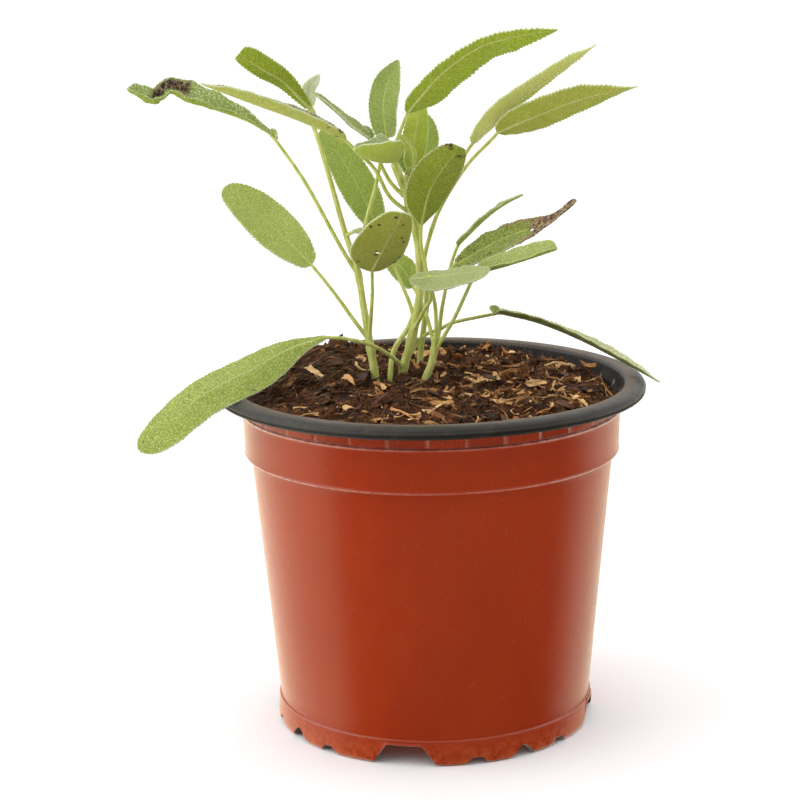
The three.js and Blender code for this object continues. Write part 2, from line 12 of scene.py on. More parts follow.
import bpy
import numpy as np
from bpy.types import Material, Node, NodeSocket, Object
from mathutils import Matrix, Vector


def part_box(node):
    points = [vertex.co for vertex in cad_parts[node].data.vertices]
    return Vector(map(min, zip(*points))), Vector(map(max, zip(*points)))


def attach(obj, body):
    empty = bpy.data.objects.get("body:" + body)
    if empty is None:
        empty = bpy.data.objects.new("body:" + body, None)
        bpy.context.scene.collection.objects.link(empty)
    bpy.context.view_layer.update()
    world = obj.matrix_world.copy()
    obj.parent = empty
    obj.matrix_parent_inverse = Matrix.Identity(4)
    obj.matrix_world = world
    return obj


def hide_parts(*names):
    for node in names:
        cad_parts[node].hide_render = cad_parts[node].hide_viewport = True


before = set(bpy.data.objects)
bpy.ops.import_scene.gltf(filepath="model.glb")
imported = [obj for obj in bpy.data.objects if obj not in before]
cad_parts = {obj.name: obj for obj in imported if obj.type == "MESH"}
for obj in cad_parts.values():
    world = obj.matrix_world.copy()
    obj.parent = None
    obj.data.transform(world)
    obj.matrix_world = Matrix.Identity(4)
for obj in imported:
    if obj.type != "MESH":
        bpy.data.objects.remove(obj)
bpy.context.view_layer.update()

LOG = logging.getLogger("potted_sage")
Point = tuple[float, float, float]
Colour = tuple[float, float, float]  # 0 to 255 for red, green and blue, as in a picture

MM = 0.001
ROOT = "root"
POT_LOW, POT_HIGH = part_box("pot")
AXIS_SHIFT = np.array([(POT_LOW.x + POT_HIGH.x) / 2, (POT_LOW.y + POT_HIGH.y) / 2, 0.0])


class Slot(Enum):
    """The record's material slots."""

    LEAF = "leaf"
    STEM = "stem"
    SOIL = "soil"
    POT = "pot"


# ---------------------------------------------------------------- meshes


def deselect_all() -> None:
    """Leave edit mode and deselect every object."""
    if bpy.context.object and bpy.context.object.mode != "OBJECT":
        bpy.ops.object.mode_set(mode="OBJECT")
    bpy.ops.object.select_all(action="DESELECT")


def pick(piece: Object) -> None:
    """Make one object the only selected and the active one."""
    deselect_all()
    piece.select_set(True)
    bpy.context.view_layer.objects.active = piece


def coords_of(piece: Object) -> np.ndarray:
    """Read a mesh's vertex places, as an N by 3 array."""
    flat = np.empty(len(piece.data.vertices) * 3, np.float32)
    piece.data.vertices.foreach_get("co", flat)
    return flat.reshape(-1, 3).astype(float)


def set_coords(piece: Object, places: np.ndarray) -> None:
    """Move a mesh's vertices to new places."""
    piece.data.vertices.foreach_set("co", np.asarray(places, np.float32).ravel())
    piece.data.update()


def normals_of(piece: Object) -> np.ndarray:
    """Read a mesh's vertex normals, as an N by 3 array."""
    flat = np.empty(len(piece.data.vertices) * 3, np.float32)
    piece.data.vertex_normals.foreach_get("vector", flat)
    return flat.reshape(-1, 3).astype(float)


def write_values(piece: Object, name: str, values: np.ndarray) -> None:
    """Store one number for each vertex under a name that materials can read."""
    mesh = piece.data
    layer = mesh.attributes.get(name) or mesh.attributes.new(name, "FLOAT", "POINT")
    layer.data.foreach_set("value", np.asarray(values, np.float32))


def read_values(piece: Object, name: str) -> np.ndarray:
    """Read back the numbers stored by write_values."""
    values = np.empty(len(piece.data.vertices), np.float32)
    piece.data.attributes[name].data.foreach_get("value", values)
    return values.astype(float)


def in_edit_mode(piece: Object, work: Callable[[], None]) -> None:
    """Run mesh operators on everything in a piece.

    Args:
        piece: The object to work on.
        work: The operators to run once all of its mesh is selected.
    """
    pick(piece)
    bpy.ops.object.mode_set(mode="EDIT")
    bpy.ops.mesh.select_mode(type="VERT")
    bpy.ops.mesh.select_all(action="SELECT")
    work()
    bpy.ops.object.mode_set(mode="OBJECT")


def close_up(piece: Object, merge: float = 1e-6) -> None:
    """Merge coincident vertices, cap open ends and turn every face outwards."""

    def work() -> None:
        """Merge, cap and turn."""
        bpy.ops.mesh.remove_doubles(threshold=merge)
        bpy.ops.mesh.select_all(action="SELECT")
        bpy.ops.mesh.fill_holes(sides=0)
        bpy.ops.mesh.select_all(action="SELECT")
        bpy.ops.mesh.normals_make_consistent(inside=False)

    in_edit_mode(piece, work)


def split_faces(piece: Object) -> None:
    """Make every face of a piece a triangle."""

    def work() -> None:
        """Split the faces."""
        bpy.ops.mesh.quads_convert_to_tris()

    in_edit_mode(piece, work)


def new_grid(name: str, rows: int, columns: int) -> tuple[Object, np.ndarray, np.ndarray]:
    """Add a flat grid to be shaped by moving its vertices.

    Args:
        name: The object's name.
        rows: Number of faces along U.
        columns: Number of faces along V.

    Returns:
        The object, and U and V from 0 to 1 for each of its vertices.
    """
    deselect_all()
    bpy.ops.mesh.primitive_grid_add(x_subdivisions=rows, y_subdivisions=columns, size=1.0)
    piece = bpy.context.object
    piece.name = piece.data.name = name
    flat = coords_of(piece)
    return piece, flat[:, 0] + 0.5, flat[:, 1] + 0.5


def in_frame(points: np.ndarray) -> np.ndarray:
    """Turn millimetres from the pot's axis into metres in the frame."""
    return np.asarray(points, float) * MM + AXIS_SHIFT


def about_axis(places: np.ndarray) -> tuple[np.ndarray, np.ndarray, np.ndarray]:
    """Turn metres in the frame into millimetres from the axis, degrees from the front, and height."""
    place = (places - AXIS_SHIFT) / MM
    angle = np.degrees(np.arctan2(place[:, 0], -place[:, 1]))
    return np.hypot(place[:, 0], place[:, 1]), angle, place[:, 2]


def apply_modifier(piece: Object, name: str, kind: str, **settings: object) -> None:
    """Add a modifier, set it and apply it.

    Args:
        piece: The object that gets it.
        name: The modifier's name.
        kind: Its type, such as SOLIDIFY.
        **settings: Its settings.
    """
    pick(piece)
    modifier = piece.modifiers.new(name, kind)
    for key, value in settings.items():
        setattr(modifier, key, value)
    bpy.ops.object.modifier_apply(modifier=name)


def join_into(target: Object, others: Sequence[Object]) -> Object:
    """Join meshes into one object.

    Args:
        target: The object that keeps its name.
        others: The objects that end in it.

    Returns:
        The joined object.
    """
    deselect_all()
    for other in others:
        other.select_set(True)
    target.select_set(True)
    bpy.context.view_layer.objects.active = target
    bpy.ops.object.join()
    return target


def copies_mesh(
    name: str, shape: Object, places: np.ndarray, turns: np.ndarray, sizes: np.ndarray
) -> Object:
    """Set many copies of one small mesh out as a single object.

    Args:
        name: The new object's name.
        shape: The mesh to copy, modelled about its origin.
        places: N by 3 places in metres.
        turns: N by 3 by 3 rotation matrices.
        sizes: N by 3 scales.

    Returns:
        The object that holds all the copies.
    """
    base = coords_of(shape)
    faces = np.array([tuple(p.vertices) for p in shape.data.polygons])
    points = np.einsum("nij,nvj->nvi", turns, base[None] * sizes[:, None]) + places[:, None]
    count, per = len(places), len(base)
    index = (faces[None] + (np.arange(count) * per)[:, None, None]).reshape(-1, faces.shape[1])
    mesh = bpy.data.meshes.new(name)
    mesh.from_pydata(points.reshape(-1, 3).tolist(), [], index.tolist())
    mesh.update()
    made = bpy.data.objects.new(name, mesh)
    bpy.context.scene.collection.objects.link(made)
    return made


def dress(piece: Object, materials: Sequence[Material], smooth: bool = True) -> None:
    """Give a piece its materials and its shading.

    Args:
        piece: The object to dress.
        materials: Its materials in slot order.
        smooth: True for rounded shading.
    """
    piece.data.materials.clear()
    for material in materials:
        piece.data.materials.append(material)
    piece.data.polygons.foreach_set("use_smooth", [smooth] * len(piece.data.polygons))
    piece.data.update()


def hand_over(piece: Object, slot: Slot, *nodes: str) -> None:
    """Tie a finished piece to the body and hide the solids it stands for.

    Args:
        piece: The finished object.
        slot: Not used.
        *nodes: CAD nodes that it replaces.
    """
    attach(piece, ROOT)
    if nodes:
        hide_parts(*nodes)
    LOG.info("%s: %d faces", piece.name, len(piece.data.polygons))


# ---------------------------------------------------------------- curves and noise


@dataclass(frozen=True)
class Path:
    """A smooth curve through points."""

    points: Sequence[Point]

    def at(self, t: np.ndarray) -> np.ndarray:
        """Places along the curve.

        Args:
            t: Numbers from 0 at the first point to 1 at the last.

        Returns:
            N by 3 places.
        """
        knots = np.array(self.points, float)
        ghosts = np.vstack([2 * knots[0] - knots[1], knots, 2 * knots[-1] - knots[-2]])
        spot = np.clip(np.asarray(t, float), 0, 1) * (len(knots) - 1)
        k = np.minimum(spot.astype(int), len(knots) - 2)
        w = (spot - k)[:, None]
        p0, p1, p2, p3 = ghosts[k], ghosts[k + 1], ghosts[k + 2], ghosts[k + 3]
        m1, m2 = (p2 - p0) / 2, (p3 - p1) / 2
        return (
            p1 + m1 * w + (-3 * p1 + 3 * p2 - 2 * m1 - m2) * w**2 + (2 * p1 - 2 * p2 + m1 + m2) * w**3
        )

    def along(self, t: np.ndarray) -> np.ndarray:
        """Unit directions along the curve, N by 3."""
        t = np.asarray(t, float)
        step = self.at(np.minimum(t + 1e-3, 1)) - self.at(np.maximum(t - 1e-3, 0))
        return step / np.linalg.norm(step, axis=1, keepdims=True)

    def length(self) -> float:
        """Length of the curve."""
        places = self.at(np.linspace(0, 1, 80))
        return float(np.linalg.norm(np.diff(places, axis=0), axis=1).sum())


def unit(vectors: np.ndarray) -> np.ndarray:
    """Scale each row to length 1."""
    return vectors / np.maximum(np.linalg.norm(vectors, axis=-1, keepdims=True), 1e-12)


def turn_about(vectors: np.ndarray, axes: np.ndarray, angles: np.ndarray) -> np.ndarray:
    """Turn each row of vectors about the unit row of axes by its angle in radians."""
    c, s = np.cos(angles)[:, None], np.sin(angles)[:, None]
    dot = (vectors * axes).sum(1, keepdims=True)
    return vectors * c + np.cross(axes, vectors) * s + axes * dot * (1 - c)


def scatter(*cells: np.ndarray, seed: int) -> np.ndarray:
    """A fixed random number from 0 to 1 for each whole-numbered cell."""
    mixed = np.full(np.broadcast(*cells).shape, seed * 0.6180339, float)
    for k, cell in enumerate(cells):
        mixed = mixed + np.asarray(cell, float) * (12.9898, 78.233, 37.719)[k]
    return np.mod(np.sin(mixed) * 43758.5453, 1.0)


def soft_noise(x: np.ndarray, y: np.ndarray, seed: int, octaves: int = 3) -> np.ndarray:
    """Smooth noise over a plane, about -1 to 1.

    Args:
        x: First coordinate, one lump to a unit.
        y: Second coordinate.
        seed: Which noise.
        octaves: How many finer layers are added.

    Returns:
        One number for each place.
    """
    total, strength = np.zeros(np.broadcast(x, y).shape), 1.0
    for octave in range(octaves):
        i, j = np.floor(x), np.floor(y)
        u, v = x - i, y - j
        u, v = u * u * (3 - 2 * u), v * v * (3 - 2 * v)
        corner = [[scatter(i + a, j + b, seed=seed + octave) for b in (0, 1)] for a in (0, 1)]
        low = corner[0][0] * (1 - u) + corner[1][0] * u
        high = corner[0][1] * (1 - u) + corner[1][1] * u
        total = total + strength * (2 * (low * (1 - v) + high * v) - 1)
        x, y, strength = 2.03 * x + 5.1, 2.03 * y - 3.7, strength * 0.5
    return total / 1.6


def cell_edges(x: np.ndarray, y: np.ndarray, seed: int) -> np.ndarray:
    """How far each place is from the border between its cell and the next, 0 at the border."""
    i, j = np.floor(x), np.floor(y)
    near = np.full(x.shape, 9.0)
    second = np.full(x.shape, 9.0)
    for a in (-1, 0, 1):
        for b in (-1, 0, 1):
            cx = i + a + 0.15 + 0.7 * scatter(i + a, j + b, seed=seed)
            cy = j + b + 0.15 + 0.7 * scatter(i + a, j + b, seed=seed + 7)
            d = np.hypot(x - cx, y - cy)
            second = np.minimum(second, np.maximum(near, d))
            near = np.minimum(near, d)
    return np.clip(second - near, 0, 1)


# ---------------------------------------------------------------- materials


def linear_colour(colour: Colour) -> Colour:
    """Turn the 0 to 255 numbers of a picture into a linear colour."""

    def linear(v: float) -> float:
        """One channel."""
        v /= 255
        return v / 12.92 if v <= 0.04045 else ((v + 0.055) / 1.055) ** 2.4

    red, green, blue = colour
    return linear(red), linear(green), linear(blue)


class Nodes:
    """A short way to write a material's nodes."""

    def __init__(self, name: str) -> None:
        """Start a material with one Principled shader.

        Args:
            name: The material's name.
        """
        self.material = bpy.data.materials.new(name)
        self.material.use_nodes = True
        self.tree = self.material.node_tree
        self.shader = self.tree.nodes["Principled BSDF"]
        place = self.tree.nodes.new("ShaderNodeTexCoord")
        self.place = place.outputs["Object"]

    def constants(self, **values: object) -> None:
        """Set the shader's own sockets, with underscores for the spaces in their names."""
        for name, value in values.items():
            self.shader.inputs[name.replace("_", " ")].default_value = value

    def add(self, kind: str, inputs: dict[str, object], **settings: object) -> Node:
        """Add a node.

        Args:
            kind: Its type.
            inputs: For each input, a value or the output that feeds it.
            **settings: The node's own settings.

        Returns:
            The node.
        """
        node = self.tree.nodes.new(kind)
        for key, value in settings.items():
            setattr(node, key, value)
        for key, value in inputs.items():
            socket = node.inputs[int(key)] if key.isdigit() else node.inputs[key]
            if isinstance(value, NodeSocket):
                self.tree.links.new(value, socket)
            else:
                socket.default_value = value
        return node

    def value(self, name: str) -> NodeSocket:
        """A number stored on the mesh."""
        return self.add("ShaderNodeAttribute", {}, attribute_name=name).outputs["Fac"]

    def noise(self, size_mm: float, detail: float = 3.0, stretch: Point = (1, 1, 1)) -> NodeSocket:
        """Noise with lumps of about size_mm, stretched by a scale for each axis."""
        mapping = self.add("ShaderNodeMapping", {"Vector": self.place, "Scale": stretch})
        node = self.add(
            "ShaderNodeTexNoise",
            {"Vector": mapping.outputs[0], "Scale": 1000 / size_mm, "Detail": detail, "Roughness": 0.6},
        )
        return node.outputs["Fac"]

    def cells(self, size_mm: float) -> NodeSocket:
        """Distance to the nearest of scattered points about size_mm apart."""
        node = self.add("ShaderNodeTexVoronoi", {"Vector": self.place, "Scale": 1000 / size_mm})
        return node.outputs["Distance"]

    def between(
        self, amount: NodeSocket, low: float, high: float, out: tuple[float, float] = (0.0, 1.0)
    ) -> NodeSocket:
        """Stretch low..high of a number to out, clamped and smooth."""
        node = self.add(
            "ShaderNodeMapRange",
            {"Value": amount, "From Min": low, "From Max": high, "To Min": out[0], "To Max": out[1]},
            interpolation_type="SMOOTHSTEP",
        )
        return node.outputs["Result"]

    def math(self, operation: str, a: object, b: object) -> NodeSocket:
        """One arithmetic step."""
        return self.add("ShaderNodeMath", {"0": a, "1": b}, operation=operation).outputs[0]

    def mix(self, amount: object, first: object, second: object) -> NodeSocket:
        """Blend two colours.

        Args:
            amount: 0 for the first, 1 for the second.
            first: A colour, in the 0 to 255 numbers of a picture, or an output.
            second: The same.

        Returns:
            The blended colour.
        """
        node = self.tree.nodes.new("ShaderNodeMix")
        node.data_type = "RGBA"
        for index, item in ((0, amount), (6, first), (7, second)):
            if isinstance(item, NodeSocket):
                self.tree.links.new(item, node.inputs[index])
            elif index:
                node.inputs[index].default_value = (*linear_colour(item), 1.0)
            else:
                node.inputs[index].default_value = item
        return node.outputs[2]

    def feed(self, socket: str, source: NodeSocket) -> None:
        """Link an output to the shader."""
        self.tree.links.new(source, self.shader.inputs[socket])

    def bump(self, height: NodeSocket, strength: float, depth_mm: float) -> None:
        """Feed a height to the shader's normal."""
        node = self.add(
            "ShaderNodeBump", {"Height": height, "Strength": strength, "Distance": depth_mm * MM}
        )
        self.feed("Normal", node.outputs["Normal"])


@dataclass(frozen=True)
class LeafFinish:
    """How one kind of leaf looks on both of its faces."""

    name: str
    upper: Colour = (192, 203, 112)
    upper_deep: Colour = (129, 148, 50)
    under: Colour = (168, 181, 58)
    under_deep: Colour = (119, 139, 20)
    vein: Colour = (212, 218, 142)
    margin: Colour = (226, 232, 200)
    fuzz: float = 0.3  # how much of the pale down shows on the upper face
    contrast: float = 0.6  # how much darker the gaps between the pebbles are: painted shade in the hollows
    spots: float = 0.0
    spot: Colour = (62, 50, 28)
    dots: float = 0.0  # size in millimetres of small round dark spots
    dot: Colour = (58, 40, 24)
    rusty: float = 0.0  # how brown the edge is past the middle of the blade
    rust: Colour = (156, 122, 96)
    edging: float = 0.5  # how pale its very edge is
    husk: tuple[Colour, Colour] = ((84, 62, 44), (176, 148, 112))
    wither: float = 2.0  # from where along the blade it is brown and dry
    green_again: float = 2.0  # from where along the blade it is green once more
    burnt: tuple[float, float] = (2.0, 3.0)  # between which two places along the blade it has dark patches
    burn: tuple[Colour, Colour] = ((34, 26, 18), (110, 80, 50))

    def material(self) -> Material:
        """Make the material.

        Returns:
            A material that reads the leaf's own values: net, vein, rib, margin, over, along, fringe and dry.
        """
        n = Nodes(self.name)
        blotch = n.between(n.noise(8, 3), 0.3, 0.7)
        pebble = n.between(n.cells(0.66), 0.12, 0.66, (1, 0))
        down = n.between(n.noise(0.45, 2), 0.5, 0.75)
        net, vein, over, rib = n.value("net"), n.value("vein"), n.value("over"), n.value("rib")
        # painted shade: darker where the fine net sinks and towards the gaps between the pebbles, lighter on
        # their domes
        bright = n.math("MULTIPLY", n.math("ADD", n.math("MULTIPLY", net, 0.4), 0.6), pebble)
        bright = n.math("ADD", n.math("MULTIPLY", bright, self.contrast), 1 - self.contrast)
        top = n.mix(bright, self.upper_deep, self.upper)
        top = n.mix(n.math("MULTIPLY", blotch, 0.3), top, self.upper_deep)
        top = n.mix(n.math("MULTIPLY", down, self.fuzz), top, self.margin)
        below = n.mix(n.math("MULTIPLY", bright, 0.85), self.under_deep, self.under)
        below = n.mix(n.math("MULTIPLY", blotch, 0.35), below, self.under_deep)
        below = n.mix(n.math("MULTIPLY", vein, 0.16), below, self.vein)
        top = n.mix(n.math("MULTIPLY", vein, 0.06), top, self.vein)
        colour = n.mix(over, below, top)
        colour = n.mix(n.math("MULTIPLY", rib, n.between(over, 0, 1, (0.8, 0.65))), colour, self.vein)
        colour = n.mix(n.math("MULTIPLY", n.value("margin"), self.edging), colour, self.margin)
        if self.spots > 0:
            spot = n.between(n.noise(2.3, 4), 0.68 - 0.06 * self.spots, 0.72 - 0.04 * self.spots)
            colour = n.mix(n.math("MULTIPLY", spot, min(1, 0.55 + 0.4 * self.spots)), colour, self.spot)
        if self.dots > 0:
            apart = 3.4
            dot = n.between(n.cells(apart), 0.5 * self.dots / apart, 0.75 * self.dots / apart, (0.9, 0))
            colour = n.mix(dot, colour, self.dot)
        if self.rusty > 0:
            outer = n.between(n.value("along"), 0.3, 0.5)
            patchy = n.between(n.noise(2.6, 3), 0.36, 0.56)
            edge = n.math("MULTIPLY", n.between(n.value("fringe"), 0.2, 0.9), outer)
            edge = n.math("MULTIPLY", n.math("MULTIPLY", edge, self.rusty), patchy)
            colour = n.mix(edge, colour, self.rust)
        if self.burnt[0] < 1:
            within = n.math(
                "MULTIPLY",
                n.between(n.value("along"), self.burnt[0] - 0.04, self.burnt[0] + 0.02),
                n.between(n.value("along"), self.burnt[1], self.burnt[1] + 0.05, (1, 0)),
            )
            patch = n.math("MULTIPLY", within, n.between(n.noise(2.4, 4), 0.52, 0.58))
            colour = n.mix(patch, colour, n.mix(n.noise(1, 3), *self.burn))
        if self.wither < 1:
            rugged = n.math("ADD", n.value("along"), n.math("MULTIPLY", n.noise(4, 3), 0.12))
            dry = n.between(rugged, self.wither + 0.03, self.wither + 0.09)
            if self.green_again < 1:
                before = n.between(rugged, self.green_again, self.green_again + 0.1, (1, 0))
                dry = n.math("MULTIPLY", dry, before)
            husk = n.mix(n.between(n.noise(1.1, 4), 0.42, 0.62), *self.husk)
            colour = n.mix(n.math("MULTIPLY", dry, n.value("dry")), colour, husk)
        n.feed("Base Color", colour)
        n.feed("Roughness", n.between(n.noise(1.6, 2), 0.2, 0.8, (0.55, 0.8)))
        n.constants(
            Sheen_Weight=0.16, Sheen_Roughness=0.5, Sheen_Tint=(0.85, 0.9, 0.7, 1), Specular_IOR_Level=0.22,
            Subsurface_Weight=0.2, Subsurface_Radius=(0.55, 0.8, 0.12), Subsurface_Scale=0.0008,
        )
        grain = n.math("ADD", pebble, n.math("MULTIPLY", down, 0.3))
        n.bump(grain, 0.3 + 0.6 * self.contrast, 0.2)
        return n.material


@dataclass(frozen=True)
class HairFinish:
    """The pale down on edges, stalks and stems."""

    colour: Colour = (234, 238, 216)
    deep: Colour = (206, 212, 170)

    def material(self) -> Material:
        """Make the material."""
        n = Nodes("pale_down")
        n.feed("Base Color", n.mix(n.noise(3, 2), self.colour, self.deep))
        n.constants(Roughness=0.7, Specular_IOR_Level=0.3)
        return n.material


@dataclass(frozen=True)
class StemFinish:
    """Green stems and stalks, flushed red brown in places."""

    name: str = "green_stem"
    green: Colour = (168, 176, 64)
    pale: Colour = (204, 208, 124)
    flush: Colour = (140, 100, 60)
    flushed: float = 0.2  # how much of the flush shows
    down: Colour = (230, 234, 206)

    def material(self) -> Material:
        """Make the material."""
        n = Nodes(self.name)
        streak = n.between(n.noise(1.3, 3, (1, 1, 0.15)), 0.32, 0.72)
        down = n.between(n.noise(0.4, 2), 0.5, 0.72)
        colour = n.mix(streak, self.green, self.pale)
        patch = n.between(n.noise(13, 2), 0.54, 0.68)
        colour = n.mix(n.math("MULTIPLY", patch, self.flushed), colour, self.flush)
        colour = n.mix(n.math("MULTIPLY", down, 0.22), colour, self.down)
        n.feed("Base Color", colour)
        n.feed("Roughness", n.between(streak, 0, 1, (0.5, 0.68)))
        n.constants(
            Sheen_Weight=0.2, Sheen_Roughness=0.5, Specular_IOR_Level=0.3, Subsurface_Weight=0.15,
            Subsurface_Radius=(0.6, 0.8, 0.2), Subsurface_Scale=0.0012,
        )
        n.bump(n.math("ADD", streak, n.math("MULTIPLY", down, 0.6)), 0.4, 0.12)
        return n.material


@dataclass(frozen=True)
class PeatFinish:
    """Dark fibrous potting mix."""

    name: str = "dark_peat"
    dark: Colour = (9, 5, 2)
    brown: Colour = (68, 40, 23)
    fleck: Colour = (156, 98, 48)
    thread: Colour = (112, 76, 48)

    def material(self) -> Material:
        """Make the material."""
        n = Nodes(self.name)
        crumb = n.noise(1.0, 6)
        fibre = n.between(n.noise(1.5, 4, (0.3, 1.4, 1)), 0.4, 0.68)
        across = n.between(n.noise(1.3, 4, (1.3, 0.3, 1)), 0.48, 0.7)
        colour = n.mix(n.between(crumb, 0.36, 0.6), self.dark, self.brown)
        colour = n.mix(n.math("MULTIPLY", fibre, 0.4), colour, self.fleck)
        colour = n.mix(n.math("MULTIPLY", across, 0.35), colour, self.thread)
        colour = n.mix(n.math("MULTIPLY", n.value("tone"), 0.65), colour, self.fleck)
        colour = n.mix(n.math("MULTIPLY", n.between(n.noise(11, 3), 0.5, 0.7), 0.6), colour, self.dark)
        n.feed("Base Color", colour)
        n.feed("Roughness", n.between(crumb, 0.2, 0.8, (0.6, 0.95)))
        n.constants(Specular_IOR_Level=0.18)
        n.bump(n.math("ADD", crumb, n.math("MULTIPLY", n.math("ADD", fibre, across), 0.4)), 1.0, 0.8)
        return n.material


@dataclass(frozen=True)
class ChipFinish:
    """Shreds of wood and bark; each chip's own tone is stored on its mesh."""

    name: str
    light: Colour
    dark: Colour
    stain: Colour = (58, 36, 22)

    def material(self) -> Material:
        """Make the material."""
        n = Nodes(self.name)
        grain = n.between(n.noise(0.8, 5, (0.3, 1, 1)), 0.3, 0.7)
        colour = n.mix(n.value("tone"), self.dark, self.light)
        colour = n.mix(n.math("MULTIPLY", grain, 0.4), colour, self.dark)
        stained = n.math("MULTIPLY", n.between(n.noise(2.2, 4), 0.6, 0.74), 0.8)
        colour = n.mix(stained, colour, self.stain)
        n.feed("Base Color", colour)
        n.feed("Roughness", n.between(grain, 0, 1, (0.55, 0.85)))
        n.constants(Specular_IOR_Level=0.3)
        n.bump(grain, 0.7, 0.25)
        return n.material


@dataclass(frozen=True)
class PotFinish:
    """Satin plastic sheet with faint mottling, scuffs, dust, worn edges with painted highlights on them, and
    specks of dirt.
    """

    name: str
    colour: Colour
    deep: Colour
    dust: Colour
    speck: Colour
    rough: tuple[float, float]
    gloss: float = 0.5
    film: float = 0.1  # how much dust lies over all of it
    powder: float = 2.2  # how coarse the dust lies, in millimetres
    rubbed_and_highlight: Colour = (240, 208, 192)  # worn edges, and the painted highlights along them

    def material(self) -> Material:
        """Make the material.

        Returns:
            A material that reads the pot's own values: wear and painted highlights on its edges, and dust
            where dust gathers.
        """
        n = Nodes(self.name)
        cloud = n.between(n.noise(30, 3, (1, 1, 0.5)), 0.3, 0.7)
        colour = n.mix(cloud, self.colour, self.deep)
        film = n.between(n.noise(6, 5), 0.5, 0.78, (0, self.film))
        powder = n.math("MULTIPLY", n.value("dust"), n.between(n.noise(self.powder, 5), 0.34, 0.68))
        film = n.math("MAXIMUM", film, powder)
        # paler edges, partly wear and partly painted highlight: the pale lines stand in for light caught at a
        # grazing angle
        worn_and_highlight = n.math("MULTIPLY", n.value("wear_and_highlight"), n.between(n.noise(2.6, 4), 0.3, 0.6, (0.35, 1)))
        colour = n.mix(worn_and_highlight, n.mix(film, colour, self.dust), self.rubbed_and_highlight)
        speck = n.between(n.noise(1.1, 3), 0.72, 0.76)
        gather = n.between(n.noise(20, 2), 0.6, 0.68)
        colour = n.mix(n.math("MULTIPLY", n.math("MULTIPLY", speck, gather), 0.5), colour, self.speck)
        n.feed("Base Color", colour)
        scuff = n.between(n.noise(4, 5), 0.3, 0.75, self.rough)
        n.feed("Roughness", n.math("ADD", scuff, n.math("MULTIPLY", film, 0.35)))
        n.constants(Specular_IOR_Level=self.gloss)
        n.bump(n.math("ADD", n.noise(0.7, 2), n.math("MULTIPLY", n.noise(9, 2), 4.0)), 0.12, 0.1)
        return n.material


# ---------------------------------------------------------------- pot


